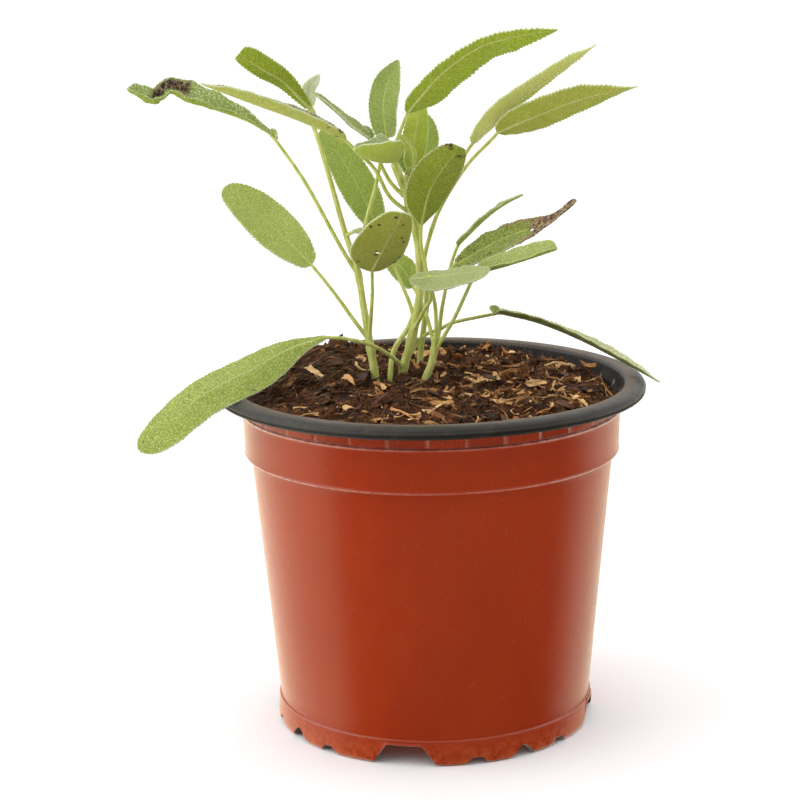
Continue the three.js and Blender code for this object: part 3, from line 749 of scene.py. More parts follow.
@dataclass
class NurseryPot:
    """The pot: a formed sheet, terracotta outside and charcoal inside and over its rolled rim, with a darker
    charcoal that paints the shade deep inside it.
    """

    height: float = 114.0
    wall: float = 1.1
    rim_radius: float = 70.0
    mouth_radius: float = 63.0
    band_top: float = 105.0
    band_radius: float = 61.8
    step_height: float = 91.0
    step_radius: float = 59.3
    foot_line: float = 7.9
    foot_line_radius: float = 51.8
    foot_radius: float = 52.7
    floor_height: float = 7.2
    pads: int = 16
    pad_turn: float = -1.2
    pad_proud: float = 0.7
    pad_top: float = 109.6
    pad_round: float = 62.0  # radius of the strip of pads, where the width of their edges is measured
    drains: int = 8
    drain_radius: float = 3.2
    drain_at: float = 42.0
    drain_turn: float = 22.5
    segments: int = 512
    hard_edge: float = 38.0  # faces that meet at more than this angle keep their edge
    # angle from the front, width at the floor, width at the head, height
    gaps: Sequence[tuple[float, float, float, float]] = (
        (-11, 20.5, 11.5, 6.5), (32.4, 8.8, 1.6, 3.7), (14.6, 7.4, 3.2, 2.2), (49.2, 6.8, 3.0, 2.2),
    )
    finishes: tuple[PotFinish, PotFinish, PotFinish] = (
        PotFinish(
            "terracotta_plastic", (151, 46, 2), (145, 41, 2), (194, 90, 36),
            (110, 44, 16), (0.23, 0.28), gloss=0.33, film=0.0,
        ),
        PotFinish(
            "charcoal_plastic", (50, 46, 40), (38, 35, 30), (142, 115, 84),
            (70, 46, 30), (0.34, 0.48), gloss=0.27, film=0.1, powder=0.7,
        ),
        # a darker copy of the charcoal: painted shade deep inside the pot and on the cut edges of the feet
        PotFinish(
            "charcoal_inside_painted_shade", (26, 23, 20), (18, 16, 14), (70, 52, 38),
            (50, 34, 24), (0.5, 0.7), gloss=0.2, film=0.15, powder=1.4,
        ),
    )

    def profile(self) -> list[tuple[float, float]]:
        """The section of the sheet, as radius and height, from under the floor round to over it."""
        t, top, out, mouth = self.wall, self.height, self.rim_radius, self.mouth_radius
        line, foot, step, band = self.foot_line_radius, self.foot_radius, self.step_height, self.band_top
        side, shoulder, floor, crease = self.band_radius, self.step_radius, self.floor_height, self.foot_line
        rolled = [  # from the underside of the rim, round its grooved face, over its top
            (mouth + 0.2, top - 3.4), (mouth + 1.4, top - 2.4), (out - 3.4, top - 2.3),
            (out - 2.1, top - 2.8), (out - 1.6, top - 3.4), (out - 1.1, top - 3.75), (out - 0.7, top - 3.8),
            (out - 0.32, top - 3.65), (out - 0.15, top - 3.35), (out - 0.2, top - 3.1),
            (out - 0.55, top - 2.95), (out - 0.62, top - 2.75), (out - 0.55, top - 2.55),
            (out - 0.15, top - 2.4), (out, top - 2.15), (out - 0.04, top - 1.9), (out - 0.2, top - 1.72),
            (out - 0.3, top - 1.6), (out - 0.33, top - 1.45), (out - 0.5, top - 1.1),
            (out - 0.85, top - 0.72), (out - 1.4, top - 0.4), (out - 2.2, top - 0.14),
            (out - 3.0, top - 0.03), (out - 3.8, top), (out - 4.6, top - 0.03), (out - 5.4, top - 0.1),
            (mouth + 0.85, top - 0.3), (mouth + 0.3, top - 0.7), (mouth - 0.05, top - 1.3),
            (mouth - 0.35, top - 2.2), (mouth - 0.9, top - 3.3), (mouth - 1.8, top - 4.6),
            (side - t - 0.2, top - 6.0),
        ]
        body = [
            (line + 0.05 + k * (shoulder - 0.3 - line), crease + 1.2 + k * (step - 4.2 - crease))
            for k in np.linspace(0.04, 1, 12)
        ]
        under_pads = [
            (side - 0.42 + 0.1 * k, band + 0.6 + k * 4.1) for k in (0.1, 0.2, 0.4, 0.6, 0.8, 0.9, 1.0)
        ]
        outside = [
            (0.4, floor), (line - 6, floor), (line - 4.9, floor - 0.3), (foot - 3.9, 1.0), (foot - 3.5, 0.25),
            (foot - 2.8, 0.0), (foot - 1.2, 0.0), (foot - 0.5, 0.25), (foot - 0.12, 0.8), (foot, 1.6),
            (foot - 0.02, 3.0), (foot - 0.12, 4.5), (line + 0.62, crease - 1.3), (line + 0.5, crease - 0.55),
            (line + 0.42, crease - 0.25), (line + 0.5, crease), (line + 0.36, crease + 0.25),
            (line + 0.02, crease + 0.5), (line - 0.02, crease + 0.9),
            *body,
            (shoulder - 0.08, step - 1.4), (shoulder + 0.15, step - 0.75), (shoulder + 0.7, step - 0.4),
            (side - 1.0, step - 0.2), (side - 0.55, step), (side - 0.34, step + 0.22),
            (side - 0.3, step + 0.5), (side - 0.42, step + 0.8), (side - 0.5, step + 1.3),
            (side - 0.35, step + 5), (side - 0.15, band - 3), (side - 0.06, band - 0.9),
            (side + 0.04, band - 0.45), (side + 0.3, band - 0.22), (side + 0.38, band),
            (side + 0.28, band + 0.2), (side - 0.2, band + 0.36), (side - 0.42, band + 0.6),
            *under_pads,
        ]
        inside = [
            (side - t - 0.5, band - 6), (side - t - 0.5, step + 0.4), (shoulder - t, step - 2),
            (line - t + 3.4, 50), (line - t, crease + 2.6), (line - t - 1.4, floor + t), (0.4, floor + t),
        ]
        return [*outside, *rolled, *inside]

    def gap_height(self, angle: np.ndarray) -> np.ndarray:
        """How high the underside of the foot ring is lifted at each angle from the front."""
        lift = np.zeros_like(angle)
        for at, foot, head, high in self.gaps:
            away = np.abs((angle - at + 45) % 90 - 45)
            across = np.radians(away) * self.foot_radius
            slope = np.clip((foot / 2 - across) / max((foot - head) / 2, 0.4), 0, 1)
            lift = np.maximum(lift, high * (0.25 * slope**0.5 + 0.75 * slope))
        return lift

    def build(self) -> Object:
        """Turn the section round the axis and press the pads and feet into it."""
        section = self.profile()
        points = [(r * MM + AXIS_SHIFT[0], AXIS_SHIFT[1], z * MM) for r, z in section]
        mesh = bpy.data.meshes.new("pot")
        mesh.from_pydata(points, [(i, i + 1) for i in range(len(points) - 1)], [])
        pot = bpy.data.objects.new("nursery_pot", mesh)
        bpy.context.scene.collection.objects.link(pot)

        def turn() -> None:
            """Spin the section."""
            bpy.ops.mesh.spin(
                steps=self.segments, angle=2 * math.pi, center=tuple(AXIS_SHIFT), axis=(0, 0, 1)
            )

        in_edit_mode(pot, turn)
        close_up(pot, merge=2e-6)
        radius, angle, z = about_axis(coords_of(pot))
        # pads under the rim, each over half of its share of the round
        turnwise = self.pad_share(angle)
        on_pad = np.clip((0.25 - np.abs(turnwise - 0.25)) / 0.02, 0, 1)
        rising = np.clip((z - self.band_top - 0.55) / 0.5, 0, 1)
        rising = rising * np.clip((self.pad_top + 0.5 - z) / 0.5, 0, 1)
        outside = radius > self.band_radius - 0.75
        strip = outside & (z > self.band_top + 0.5) & (z < self.pad_top + 0.6)
        radius = radius + np.where(strip, self.pad_proud * on_pad * rising, 0)
        # feet
        low = (z < self.floor_height - 0.05) & (radius > self.foot_line_radius - 6.5)
        lift = self.gap_height(angle)
        z = np.where(low, np.maximum(z, lift + 0.15 * z * (lift > 0.05)), z)
        # the sheet isn't perfectly round or even
        a = np.radians(angle)
        flat = soft_noise(a * 6 / math.pi + 20, z / 30, 31, 2) * 0.1
        body = (z > self.foot_line + 1) & (z < self.step_height - 2)
        radius = radius + np.where(body, flat, 0)
        sway = 0.12 * np.sin(2 * a + 0.6) + 0.05 * np.sin(5 * a) - 0.15
        z = z + np.where(z > self.height - 6, sway, 0)
        set_coords(pot, np.column_stack([radius * np.sin(a), -radius * np.cos(a), z]) * MM + AXIS_SHIFT)
        self.drill(pot)
        self.age(pot)
        dress(pot, [finish.material() for finish in self.finishes])
        self.colour_faces(pot)
        pick(pot)
        bpy.ops.object.shade_smooth_by_angle(angle=math.radians(self.hard_edge))
        return pot

    def pad_share(self, angle: np.ndarray) -> np.ndarray:
        """How far each angle lies from the start of its pad, as a share of the way to the next pad."""
        share = 360 / self.pads
        return ((angle - self.pad_turn) % share) / share

    def age(self, pot: Object) -> None:
        """Store where edges are worn and carry painted highlights, and where dust lies, for the finishes to
        read.
        """
        radius, angle, z = about_axis(coords_of(pot))

        def near(height: float, reach: float, least: float) -> np.ndarray:
            """Close to a height on the outside of the wall."""
            return np.exp(-(((z - height) / reach) ** 2)) * (radius > least)

        # pale lines at the band's top, the step, the crease and the pads' edges: partly wear, partly painted
        # highlight
        wear_and_highlight = 0.85 * near(self.band_top + 0.15, 0.42, self.band_radius - 0.45)
        wear_and_highlight = wear_and_highlight + 0.7 * near(self.step_height + 0.25, 0.3, self.band_radius - 0.9)
        wear_and_highlight = wear_and_highlight + 0.14 * near(self.foot_line, 0.3, self.foot_line_radius - 0.2)
        sides_highlit = 0.22 + 0.78 * np.sin(np.radians(angle)) ** 2  # painted highlight: the edge lines are paler at the sides, where they catch the light, than at the front
        turnwise = self.pad_share(angle)
        edge = np.minimum(np.minimum(turnwise, np.abs(turnwise - 0.5)), 1 - turnwise)
        edge = edge * 2 * math.pi * self.pad_round / self.pads
        strip = (z > self.band_top + 0.4) & (z < self.pad_top) & (radius > self.band_radius - 0.75)
        wear_and_highlight = sides_highlit * (wear_and_highlight + np.where(strip, 0.9 * np.exp(-((edge / 0.36) ** 2)), 0))
        feet = 0.74 * np.clip(1 - z / self.foot_line, 0, 1) * (radius > self.foot_line_radius - 3)
        rolled = np.exp(-(((radius - self.rim_radius + 4.9) / 1.8) ** 2)) * (z > self.height - 0.9)
        mouth = np.clip((z - self.height + 9) / 8, 0, 1) * (z > self.band_top)
        mouth = mouth * (radius < self.mouth_radius - 0.2)
        write_values(pot, "wear_and_highlight", np.clip(wear_and_highlight, 0, 1))
        write_values(pot, "dust", np.clip(feet + 0.62 * rolled + 0.25 * mouth, 0, 1))

    def drill(self, pot: Object) -> None:
        """Cut the drain holes through the floor."""
        cutters = []
        for k in range(self.drains):
            a = math.radians(self.drain_turn + k * 360 / self.drains)
            at = (self.drain_at * math.cos(a), self.drain_at * math.sin(a), self.floor_height)
            deselect_all()
            bpy.ops.mesh.primitive_cylinder_add(
                vertices=24, radius=self.drain_radius * MM, depth=8 * MM, location=in_frame(np.array(at))
            )
            bpy.ops.object.transform_apply(location=True)
            cutters.append(bpy.context.object)
        cutter = join_into(cutters[0], cutters[1:])
        apply_modifier(pot, "drains", "BOOLEAN", operation="DIFFERENCE", object=cutter, solver="EXACT")
        bpy.data.objects.remove(cutter)

    def colour_faces(self, pot: Object) -> None:
        """Charcoal inside and on the rim, a darker charcoal as painted shade deep inside and on the cut edges
        of the feet, terracotta elsewhere.
        """
        count = len(pot.data.polygons)
        centres = np.empty(count * 3, np.float32)
        pot.data.polygons.foreach_get("center", centres)
        normals = np.empty(count * 3, np.float32)
        pot.data.polygons.foreach_get("normal", normals)
        centres = (centres.reshape(-1, 3) - AXIS_SHIFT) / MM
        normals = normals.reshape(-1, 3)
        radius = np.hypot(centres[:, 0], centres[:, 1])
        outward = (centres[:, 0] * normals[:, 0] + centres[:, 1] * normals[:, 1]) / np.maximum(radius, 1e-6)
        z = centres[:, 2]
        inner = (z > self.floor_height + self.wall / 2) & (
            (outward < -0.3) | (radius < self.foot_line_radius - 2)
        )
        rim = (z > self.pad_top + 0.25) | (radius > self.band_radius + 1.3)
        # deep inside gets the darker charcoal: painted shade
        deep = inner & (z < self.height - 1.3) & (radius < self.mouth_radius)
        cut = (z < self.foot_line) & (radius > self.foot_line_radius - 5)
        cut = cut & (outward < 0.3) & (normals[:, 2] < 0.35)
        which = (inner | rim) * 1 + deep * 1 + cut * 2
        pot.data.polygons.foreach_set("material_index", which.astype(np.int32))

    def bore(self, z: float) -> float:
        """Radius of the inside of the wall at a height."""
        heights = [
            self.floor_height + self.wall, self.foot_line + 2.6, self.step_height - 2, self.step_height + 0.4,
        ]
        radii = [
            self.foot_line_radius - self.wall - 1.4, self.foot_line_radius - self.wall,
            self.step_radius - self.wall, self.band_radius - self.wall - 0.5,
        ]
        return float(np.interp(z, heights, radii))


# ---------------------------------------------------------------- potting mix


@dataclass(frozen=True)
class ChipKind:
    """One kind of chip or shred, its sizes in millimetres."""

    name: str
    count: int
    seed: int
    light: Colour
    dark: Colour
    lengths: tuple[float, float]
    widths: tuple[float, float]  # share of the length: the least, and how much chance adds


@dataclass(frozen=True)
class CrumbGrade:
    """One size of crumb, in millimetres."""

    count: int
    low: float
    high: float
    fineness: int = 1
    roughness: float = 0.32


@dataclass
class PottingMix:
    """Dark peat with clods, crumbs, fibres, wood chips and bark lying on it."""

    pot: NurseryPot
    level: float = 111.2
    # rises: across, front to back, reach, height
    mound: tuple[float, float, float, float] = (-37, 36, 21, 5.6)
    clod: tuple[float, float, float, float] = (-37, 4, 14, 4.4)
    crown: tuple[float, float, float, float] = (-8, 11, 9, 3.4)
    lump: float = 1.5
    flat_from: float = 52.0  # radius from which the surface levels out towards the wall
    sunk: float = 3.4
    shrunk_from: float = 53.0  # radius from which the mix sinks at the back and the right
    cells: int = 300
    seed: int = 20417
    stems: Sequence[tuple[float, float]] = ((-18, 1.5), (-9, 8.5), (-3.5, 15.5), (-2, 1.5), (-13.5, 5))
    clear_of_stems: float = 2.6
    kinds: Sequence[ChipKind] = (
        ChipKind("pale_wood_chips", 300, 1, (250, 214, 154), (196, 140, 80), (2.2, 8.5), (0.16, 0.3)),
        ChipKind("tan_wood_chips", 380, 2, (204, 146, 84), (122, 76, 40), (1.8, 8.5), (0.16, 0.26)),
        ChipKind("bark_shreds", 560, 3, (108, 68, 42), (36, 22, 14), (1.8, 9.0), (0.16, 0.3)),
        ChipKind("wood_slivers", 380, 4, (220, 170, 104), (112, 72, 40), (3.0, 10.0), (0.05, 0.07)),
    )
    # how much each of the four shapes of every kind curls and tapers
    shapes: Sequence[tuple[float, float]] = ((0.16, 0.3), (-0.3, 0.55), (0.42, 0.15), (-0.14, 0.75))
    grades: Sequence[CrumbGrade] = (
        CrumbGrade(4800, 0.4, 1.2), CrumbGrade(1500, 0.9, 2.4),
        CrumbGrade(120, 2.2, 4.6, fineness=2, roughness=0.24),
    )
    crumb_brown: Colour = (92, 54, 30)
    fibre_finish: ChipFinish = ChipFinish("peat_fibres", (158, 120, 78), (58, 38, 26))
    bends: int = 5  # how many ways threads and shreds are bent
    threads: int = 95  # of each bend
    shreds: int = 90  # of each bend, matted on the clod at the left
    matted_at: tuple[float, float] = (-37, 6)
    matted_spread: tuple[float, float] = (9, 15)
    matted_way: tuple[float, float] = (38, 16)  # degrees from +X that shreds lie, and how much that varies
    matted_within: float = 57.0

    def height(self, x: np.ndarray, y: np.ndarray, fine: bool = True) -> np.ndarray:
        """Height of the surface.

        Args:
            x: Places across.
            y: Places front to back.
            fine: Adds the clods and crumbs to the form.

        Returns:
            One height for each place.
        """

        def hill(m: tuple[float, float, float, float]) -> np.ndarray:
            """A round rise at a place, with its reach and its height."""
            return m[3] * np.exp(-((x - m[0]) ** 2 + (y - m[1]) ** 2) / m[2] ** 2)

        lumps = (
            np.sin(0.31 * x + 1.3) * np.cos(0.27 * y - 0.4)
            + 0.6 * np.sin(0.62 * x - 0.5 * y + 2.1)
            + 0.5 * np.cos(0.8 * y + 0.35 * x)
        )
        edge = np.clip((np.hypot(x, y) - self.flat_from) / 10, 0, 1)
        edge = edge * edge * (3 - 2 * edge)
        z = self.level + (hill(self.mound) + self.lump * 0.5 * lumps) * (1 - 0.75 * edge) + hill(self.crown)
        ledge = np.clip((y + 9 + 0.5 * (x + 37)) / 5, 0.15, 1)
        z = z + 1.0 * np.clip((y - 8) / 45, 0, 1) + hill(self.clod) * ledge - self.sunk * self.away(x, y)
        if fine:
            clods = 1 - np.abs(soft_noise(x / 6 + 3, y / 6, 5, 3))
            heap = np.clip(soft_noise(x / 4.2 + 11, y / 4.2, 15, 2), -0.4, 1)
            grit = soft_noise(x / 1.5, y / 1.5 + 9, 11, 3)
            z = z + (3.0 * (clods - 0.8) + 2.1 * heap + 1.0 * grit) * (1 - 0.65 * edge)
        return z

    def away(self, x: np.ndarray, y: np.ndarray) -> np.ndarray:
        """How far the mix has shrunk away from the wall at the back and the right, 0 to 1."""
        near_wall = np.clip((np.hypot(x, y) - self.shrunk_from) / 7, 0, 1)
        return near_wall * near_wall * (3 - 2 * near_wall) * np.clip((y + 0.6 * x + 10) / 30, 0, 1)

    def surface(self) -> Object:
        """The body of the mix, from its rough top down to the pot's floor."""
        bed, u, v = new_grid("potting_mix", self.cells, self.cells)
        a, b = 2 * u - 1, 2 * v - 1
        reach = self.pot.mouth_radius - 1.0
        x = a * np.sqrt(1 - b * b / 2) * reach
        y = b * np.sqrt(1 - a * a / 2) * reach
        narrow = 1 - 0.016 * self.away(x, y)
        x, y = x * narrow, y * narrow
        z = self.height(x, y)
        for sx, sy in self.stems:
            z = z - 0.9 * np.exp(-((x - sx) ** 2 + (y - sy) ** 2) / 2.5)
        set_coords(bed, in_frame(np.column_stack([x, y, z])))
        levels = [
            self.pot.band_top + 1.5, self.pot.step_height + 0.4, self.pot.step_height - 2,
            self.pot.foot_line + 2.6, self.pot.floor_height + self.pot.wall + 0.3,
        ]

        def skirt() -> None:
            """Pull the edge down the wall of the pot, ring by ring."""
            bpy.ops.mesh.select_all(action="DESELECT")
            bpy.ops.mesh.select_non_manifold(extend=False)
            for _ in levels:
                bpy.ops.mesh.extrude_region_move(TRANSFORM_OT_translate={"value": (0, 0, -1.0)})

        in_edit_mode(bed, skirt)
        place = (coords_of(bed) - AXIS_SHIFT) / MM
        for k, z_new in enumerate(levels, start=1):
            ring = (place[:, 2] < -1000 * (k - 0.5)) & (place[:, 2] > -1000 * (k + 0.5))
            radius = np.hypot(place[ring, 0], place[ring, 1])
            wanted = self.pot.bore(z_new) - 0.4
            place[ring, 0] *= wanted / radius
            place[ring, 1] *= wanted / radius
            place[ring, 2] = z_new
        set_coords(bed, place * MM + AXIS_SHIFT)
        close_up(bed)
        dress(bed, [PeatFinish().material()])
        return bed

    def spots(self, count: int, seed: int, reach: float = 57.0) -> tuple[np.ndarray, np.random.Generator]:
        """Scatter places over the surface.

        Args:
            count: How many.
            seed: Which scatter.
            reach: Radius that they stay within.

        Returns:
            N by 3 places on the surface, and the source of random numbers that made them.
        """
        draw = np.random.default_rng(seed)
        radius = reach * np.sqrt(draw.random(count))
        angle = 2 * math.pi * draw.random(count)
        x, y = radius * np.cos(angle), radius * np.sin(angle)
        clear = np.all([np.hypot(x - sx, y - sy) > self.clear_of_stems for sx, sy in self.stems], axis=0)
        clear &= draw.random(count) < 0.75 + 0.012 * x  # more of them lie on the right
        x, y = x[clear], y[clear]
        return np.column_stack([x, y, self.height(x, y)]), draw

    def lying(self, places: np.ndarray, draw: np.random.Generator, tilt: float) -> np.ndarray:
        """Rotations that lay pieces along the surface.

        Args:
            places: Where they lie.
            draw: Source of random numbers.
            tilt: How far in radians they tip off it at random.

        Returns:
            N by 3 by 3 matrices.
        """
        x, y = places[:, 0], places[:, 1]
        run = 1.5  # how far to each side the slope is measured
        gx = (self.height(x + run, y, False) - self.height(x - run, y, False)) / (2 * run)
        gy = (self.height(x, y + run, False) - self.height(x, y - run, False)) / (2 * run)
        up = unit(np.column_stack([-gx, -gy, np.ones_like(x)]) + draw.normal(0, tilt, places.shape))
        spin = 2 * math.pi * draw.random(len(x))
        first = np.column_stack([np.cos(spin), np.sin(spin), np.zeros_like(x)])
        first = unit(first - up * (first * up).sum(1, keepdims=True))
        return np.stack([first, np.cross(up, first), up], axis=2)

    def flake(self, name: str, curl: float, taper: float, seed: int) -> Object:
        """One torn flake of wood, modelled at 1 unit long about its origin.

        Args:
            name: Its name.
            curl: How much it curls along its length.
            taper: How much narrower its far end is.
            seed: Which tears its edges have.

        Returns:
            The flake, a thin curved sheet made of triangles.
        """
        chip, u, v = new_grid(name, 5, 2)
        draw = np.random.default_rng(seed)
        torn = draw.normal(0, 1, (len(u), 3))
        a = 2 * v - 1
        girth = np.sqrt(np.clip(1 - (2 * u - 1) ** 4, 0.3, 1)) * (1 - taper * u)
        x = u - 0.5 + 0.06 * torn[:, 0] * np.abs(a)
        y = a * 0.5 * girth * (1 + 0.1 * torn[:, 1]) + 0.2 * np.sin(2.4 * u + seed)
        z = curl * ((2 * u - 1) ** 2 - 0.4) + 0.3 * abs(curl) * a * a
        z = z + 0.8 * curl * a * (u - 0.5) + 0.03 * torn[:, 2]
        set_coords(chip, np.column_stack([x, y, z]))
        apply_modifier(chip, "sheet", "SOLIDIFY", thickness=0.09, offset=0.0)
        split_faces(chip)
        return chip

    def chips(self) -> list[Object]:
        """Wood and bark, pale and dark, half sunk in the mix."""
        made = []
        for kind in self.kinds:
            parts = [self.chips_of(kind, k) for k in range(len(self.shapes))]
            piece = join_into(parts[0], parts[1:])
            piece.name = kind.name
            dress(piece, [ChipFinish(kind.name, kind.light, kind.dark).material()], smooth=False)
            made.append(piece)
        return made

    def chips_of(self, kind: ChipKind, k: int) -> Object:
        """The chips of one kind that share one shape.

        Args:
            kind: Which kind.
            k: Which of the shapes.

        Returns:
            The chips as one object.
        """
        curl, taper = self.shapes[k]
        short, long = kind.lengths
        slim, spread = kind.widths
        shape = self.flake(f"{kind.name}_shape", curl, taper, 5 * kind.seed + k)
        count = kind.count // len(self.shapes)
        places, draw = self.spots(count, self.seed + 17 * kind.seed + k, 58.6)
        n = len(places)
        length = short + (long - short) * draw.random(n) ** 1.9
        width = length * (slim + spread * draw.random(n))
        places[:, 2] += 0.3 + 0.35 * width * draw.random(n)
        sizes = np.column_stack([length, width, 0.5 * width + 0.25 * length]) * MM
        turns = self.lying(places, draw, 0.42)
        rise = np.abs(turns[:, 2, 0])  # chips that stand on end are short, above all at the back
        sizes[(rise > 0.55) | (rise > 0.2) & (places[:, 1] > 20)] *= 0.5
        part = copies_mesh(kind.name, shape, in_frame(places), turns, sizes)
        write_values(part, "tone", np.repeat(draw.random(n), len(shape.data.vertices)))
        bpy.data.objects.remove(shape)
        return part

    def crumbs(self) -> Object:
        """Clods and crumbs of peat."""
        parts = []
        for k, grade in enumerate(self.grades):
            deselect_all()
            bpy.ops.mesh.primitive_ico_sphere_add(subdivisions=grade.fineness, radius=1.0)
            shape = bpy.context.object
            p = coords_of(shape)
            rough = np.random.default_rng(40 + k).normal(0, 1, len(p))
            set_coords(shape, p * (1 + grade.roughness * rough)[:, None])
            places, draw = self.spots(grade.count, self.seed + 90 + k, 58.0)
            n = len(places)
            size = grade.low + (grade.high - grade.low) * draw.random(n) ** 2
            sizes = np.column_stack([size, size * (0.55 + 0.45 * draw.random(n)), size * 0.75]) / 2 * MM
            places[:, 2] += size * 0.16
            turns = self.lying(places, draw, 0.5)
            parts.append(copies_mesh("peat_crumbs", shape, in_frame(places), turns, sizes))
            write_values(parts[-1], "tone", np.repeat(draw.random(n) ** 3, len(p)))
            bpy.data.objects.remove(shape)
        piece = join_into(parts[0], parts[1:])
        dress(piece, [PeatFinish("peat_crumb", brown=self.crumb_brown).material()], smooth=False)
        return piece

    def fibres(self) -> Object:
        """Thin curled roots and threads of peat, and matted shreds, each bent its own way."""
        parts = []
        for k in range(self.bends):
            loose, draw = self.loose_threads(k)
            parts += [loose, self.matted_shreds(k, draw)]
        piece = join_into(parts[0], parts[1:])
        dress(piece, [self.fibre_finish.material()])
        return piece

    def loose_threads(self, k: int) -> tuple[Object, np.random.Generator]:
        """Threads of one bend, scattered over the whole surface.

        Args:
            k: Which bend.

        Returns:
            The threads as one object, and the source of random numbers that made them.
        """
        draw = np.random.default_rng(self.seed + k)
        bend = np.array([[-0.5, 0, 0], [-0.16, 0, 0.1], [0.2, 0, 0.08], [0.5, 0, 0]])
        bend = draw.normal(0, 0.12, bend.shape) + bend
        thin = 0.012 / MM
        rod = tube("peat_fibre", Path([tuple(p) for p in bend / MM]), lambda t: 0.0 * t + thin, 3, 7)
        set_coords(rod, coords_of(rod) - AXIS_SHIFT)
        split_faces(rod)
        places, draw = self.spots(self.threads, self.seed + 300 + k)
        n = len(places)
        length = 2.5 + 7 * draw.random(n) ** 1.6
        thick = 4 + 8 * draw.random(n)
        sizes = np.column_stack([length, length * 0.8, np.minimum(length * 0.9, thick)]) * MM
        places[:, 2] += 0.5
        loose = copies_mesh("peat_fibres", rod, in_frame(places), self.lying(places, draw, 0.3), sizes)
        write_values(loose, "tone", np.repeat(draw.random(n), len(rod.data.vertices)))
        bpy.data.objects.remove(rod)
        return loose, draw

    def matted_shreds(self, k: int, draw: np.random.Generator) -> Object:
        """Shreds of one bend, matted on the clod at the left and all lying much the same way.

        Args:
            k: Which bend.
            draw: Source of random numbers.

        Returns:
            The shreds as one object.
        """
        shred = self.flake("peat_shred", 0.1 - 0.08 * k, 0.3 + 0.12 * k, 70 + k)
        x = self.matted_at[0] + self.matted_spread[0] * draw.normal(0, 1, self.shreds)
        y = self.matted_at[1] + self.matted_spread[1] * draw.normal(0, 1, self.shreds)
        within = np.hypot(x, y) < self.matted_within
        x, y = x[within], y[within]
        n = len(x)
        places = np.column_stack([x, y, self.height(x, y) + 0.2])
        way, varied = self.matted_way
        lay = np.radians(way + varied * draw.normal(0, 1, n))
        first = unit(np.column_stack([np.cos(lay), np.sin(lay), draw.normal(0.2, 0.18, n)]))
        up = draw.normal(0, 0.3, (n, 3)) + np.array([0, -0.5, 1.0])
        up = unit(np.cross(first, np.cross(up, first)))
        length = 3 + 6 * draw.random(n)
        sizes = np.column_stack([length, 0.3 + 0.4 * draw.random(n), 0.3 * length]) * MM
        turns = np.stack([first, np.cross(up, first), up], axis=2)
        matted = copies_mesh("peat_fibres", shred, in_frame(places), turns, sizes)
        write_values(matted, "tone", np.repeat(0.8 * draw.random(n) ** 1.5, len(shred.data.vertices)))
        bpy.data.objects.remove(shred)
        return matted

    def build(self) -> None:
        """Make and hand over everything in the pot."""
        hand_over(self.surface(), Slot.SOIL, "soil")
        for piece in (*self.chips(), self.crumbs(), self.fibres()):
            hand_over(piece, Slot.SOIL)


# ---------------------------------------------------------------- down


@dataclass
class Down:
    """Short pale hairs standing on green surfaces."""

    length: float = 0.42
    thick: float = 0.045
    splay: float = 0.45  # how far hairs lean at random
    rooted: float = 0.05  # how deep they start under the surface

    def shape(self) -> Object:
        """One hair, 1 unit long: a three-sided spike."""
        deselect_all()
        bpy.ops.mesh.primitive_cone_add(vertices=3, radius1=1.0, depth=1.0, location=(0, 0, 0.5))
        bpy.ops.object.transform_apply(location=True)
        hair = bpy.context.object
        split_faces(hair)
        return hair

    def on(self, name: str, roots: np.ndarray, ways: np.ndarray, seed: int) -> Object:
        """Grow hairs.

        Args:
            name: The object's name.
            roots: N by 3 places in metres.
            ways: N by 3 directions.
            seed: Which scatter.

        Returns:
            The hairs as one object.
        """
        draw = np.random.default_rng(seed)
        up = unit(ways + draw.normal(0, self.splay, ways.shape))
        first = unit(np.cross(up, np.array([0.3, 0.5, 0.81])))  # any way but the hair's own
        turns = np.stack([first, np.cross(up, first), up], axis=2)
        long = self.length * (0.5 + 0.9 * draw.random(len(roots)))
        sizes = np.column_stack([np.full(len(roots), self.thick / 2)] * 2 + [long]) * MM
        hair = self.shape()
        made = copies_mesh(name, hair, roots - up * self.rooted * MM, turns, sizes)
        bpy.data.objects.remove(hair)
        return made


# ---------------------------------------------------------------- stems and leaves


def tube(name: str, path: Path, radius: Callable[[np.ndarray], np.ndarray], sides: int, steps: int,
         square: float = 0.0) -> Object:
    """A closed round or squarish rod along a curve.

    Args:
        name: The object's name.
        path: Its middle line, in millimetres.
        radius: Its radius at numbers from 0 to 1 along it.
        sides: Faces round it.
        steps: Faces along it.
        square: How far the corners of a square stem stand out, as a share of the radius.

    Returns:
        The rod, with "along" stored on it.
    """
    rod, u, v = new_grid(name, steps, sides)
    ways = path.along(u)
    grid = np.linspace(0, 1, 200)
    side = np.zeros((len(grid), 3))
    side[0] = (1.0, 0.2, 0.0)
    lines = path.along(grid)
    for k in range(len(grid)):
        last = side[max(k - 1, 0)]
        side[k] = unit(last - lines[k] * (last @ lines[k]))
    first = np.column_stack([np.interp(u, grid, side[:, c]) for c in range(3)])
    first = unit(first - ways * (first * ways).sum(1, keepdims=True))
    other = np.cross(ways, first)
    a = 2 * math.pi * v
    r = radius(u) * (1 + square * np.cos(4 * a))
    places = path.at(u) + first * (r * np.cos(a))[:, None] + other * (r * np.sin(a))[:, None]
    set_coords(rod, in_frame(places))
    write_values(rod, "along", u)
    close_up(rod)
    return rod


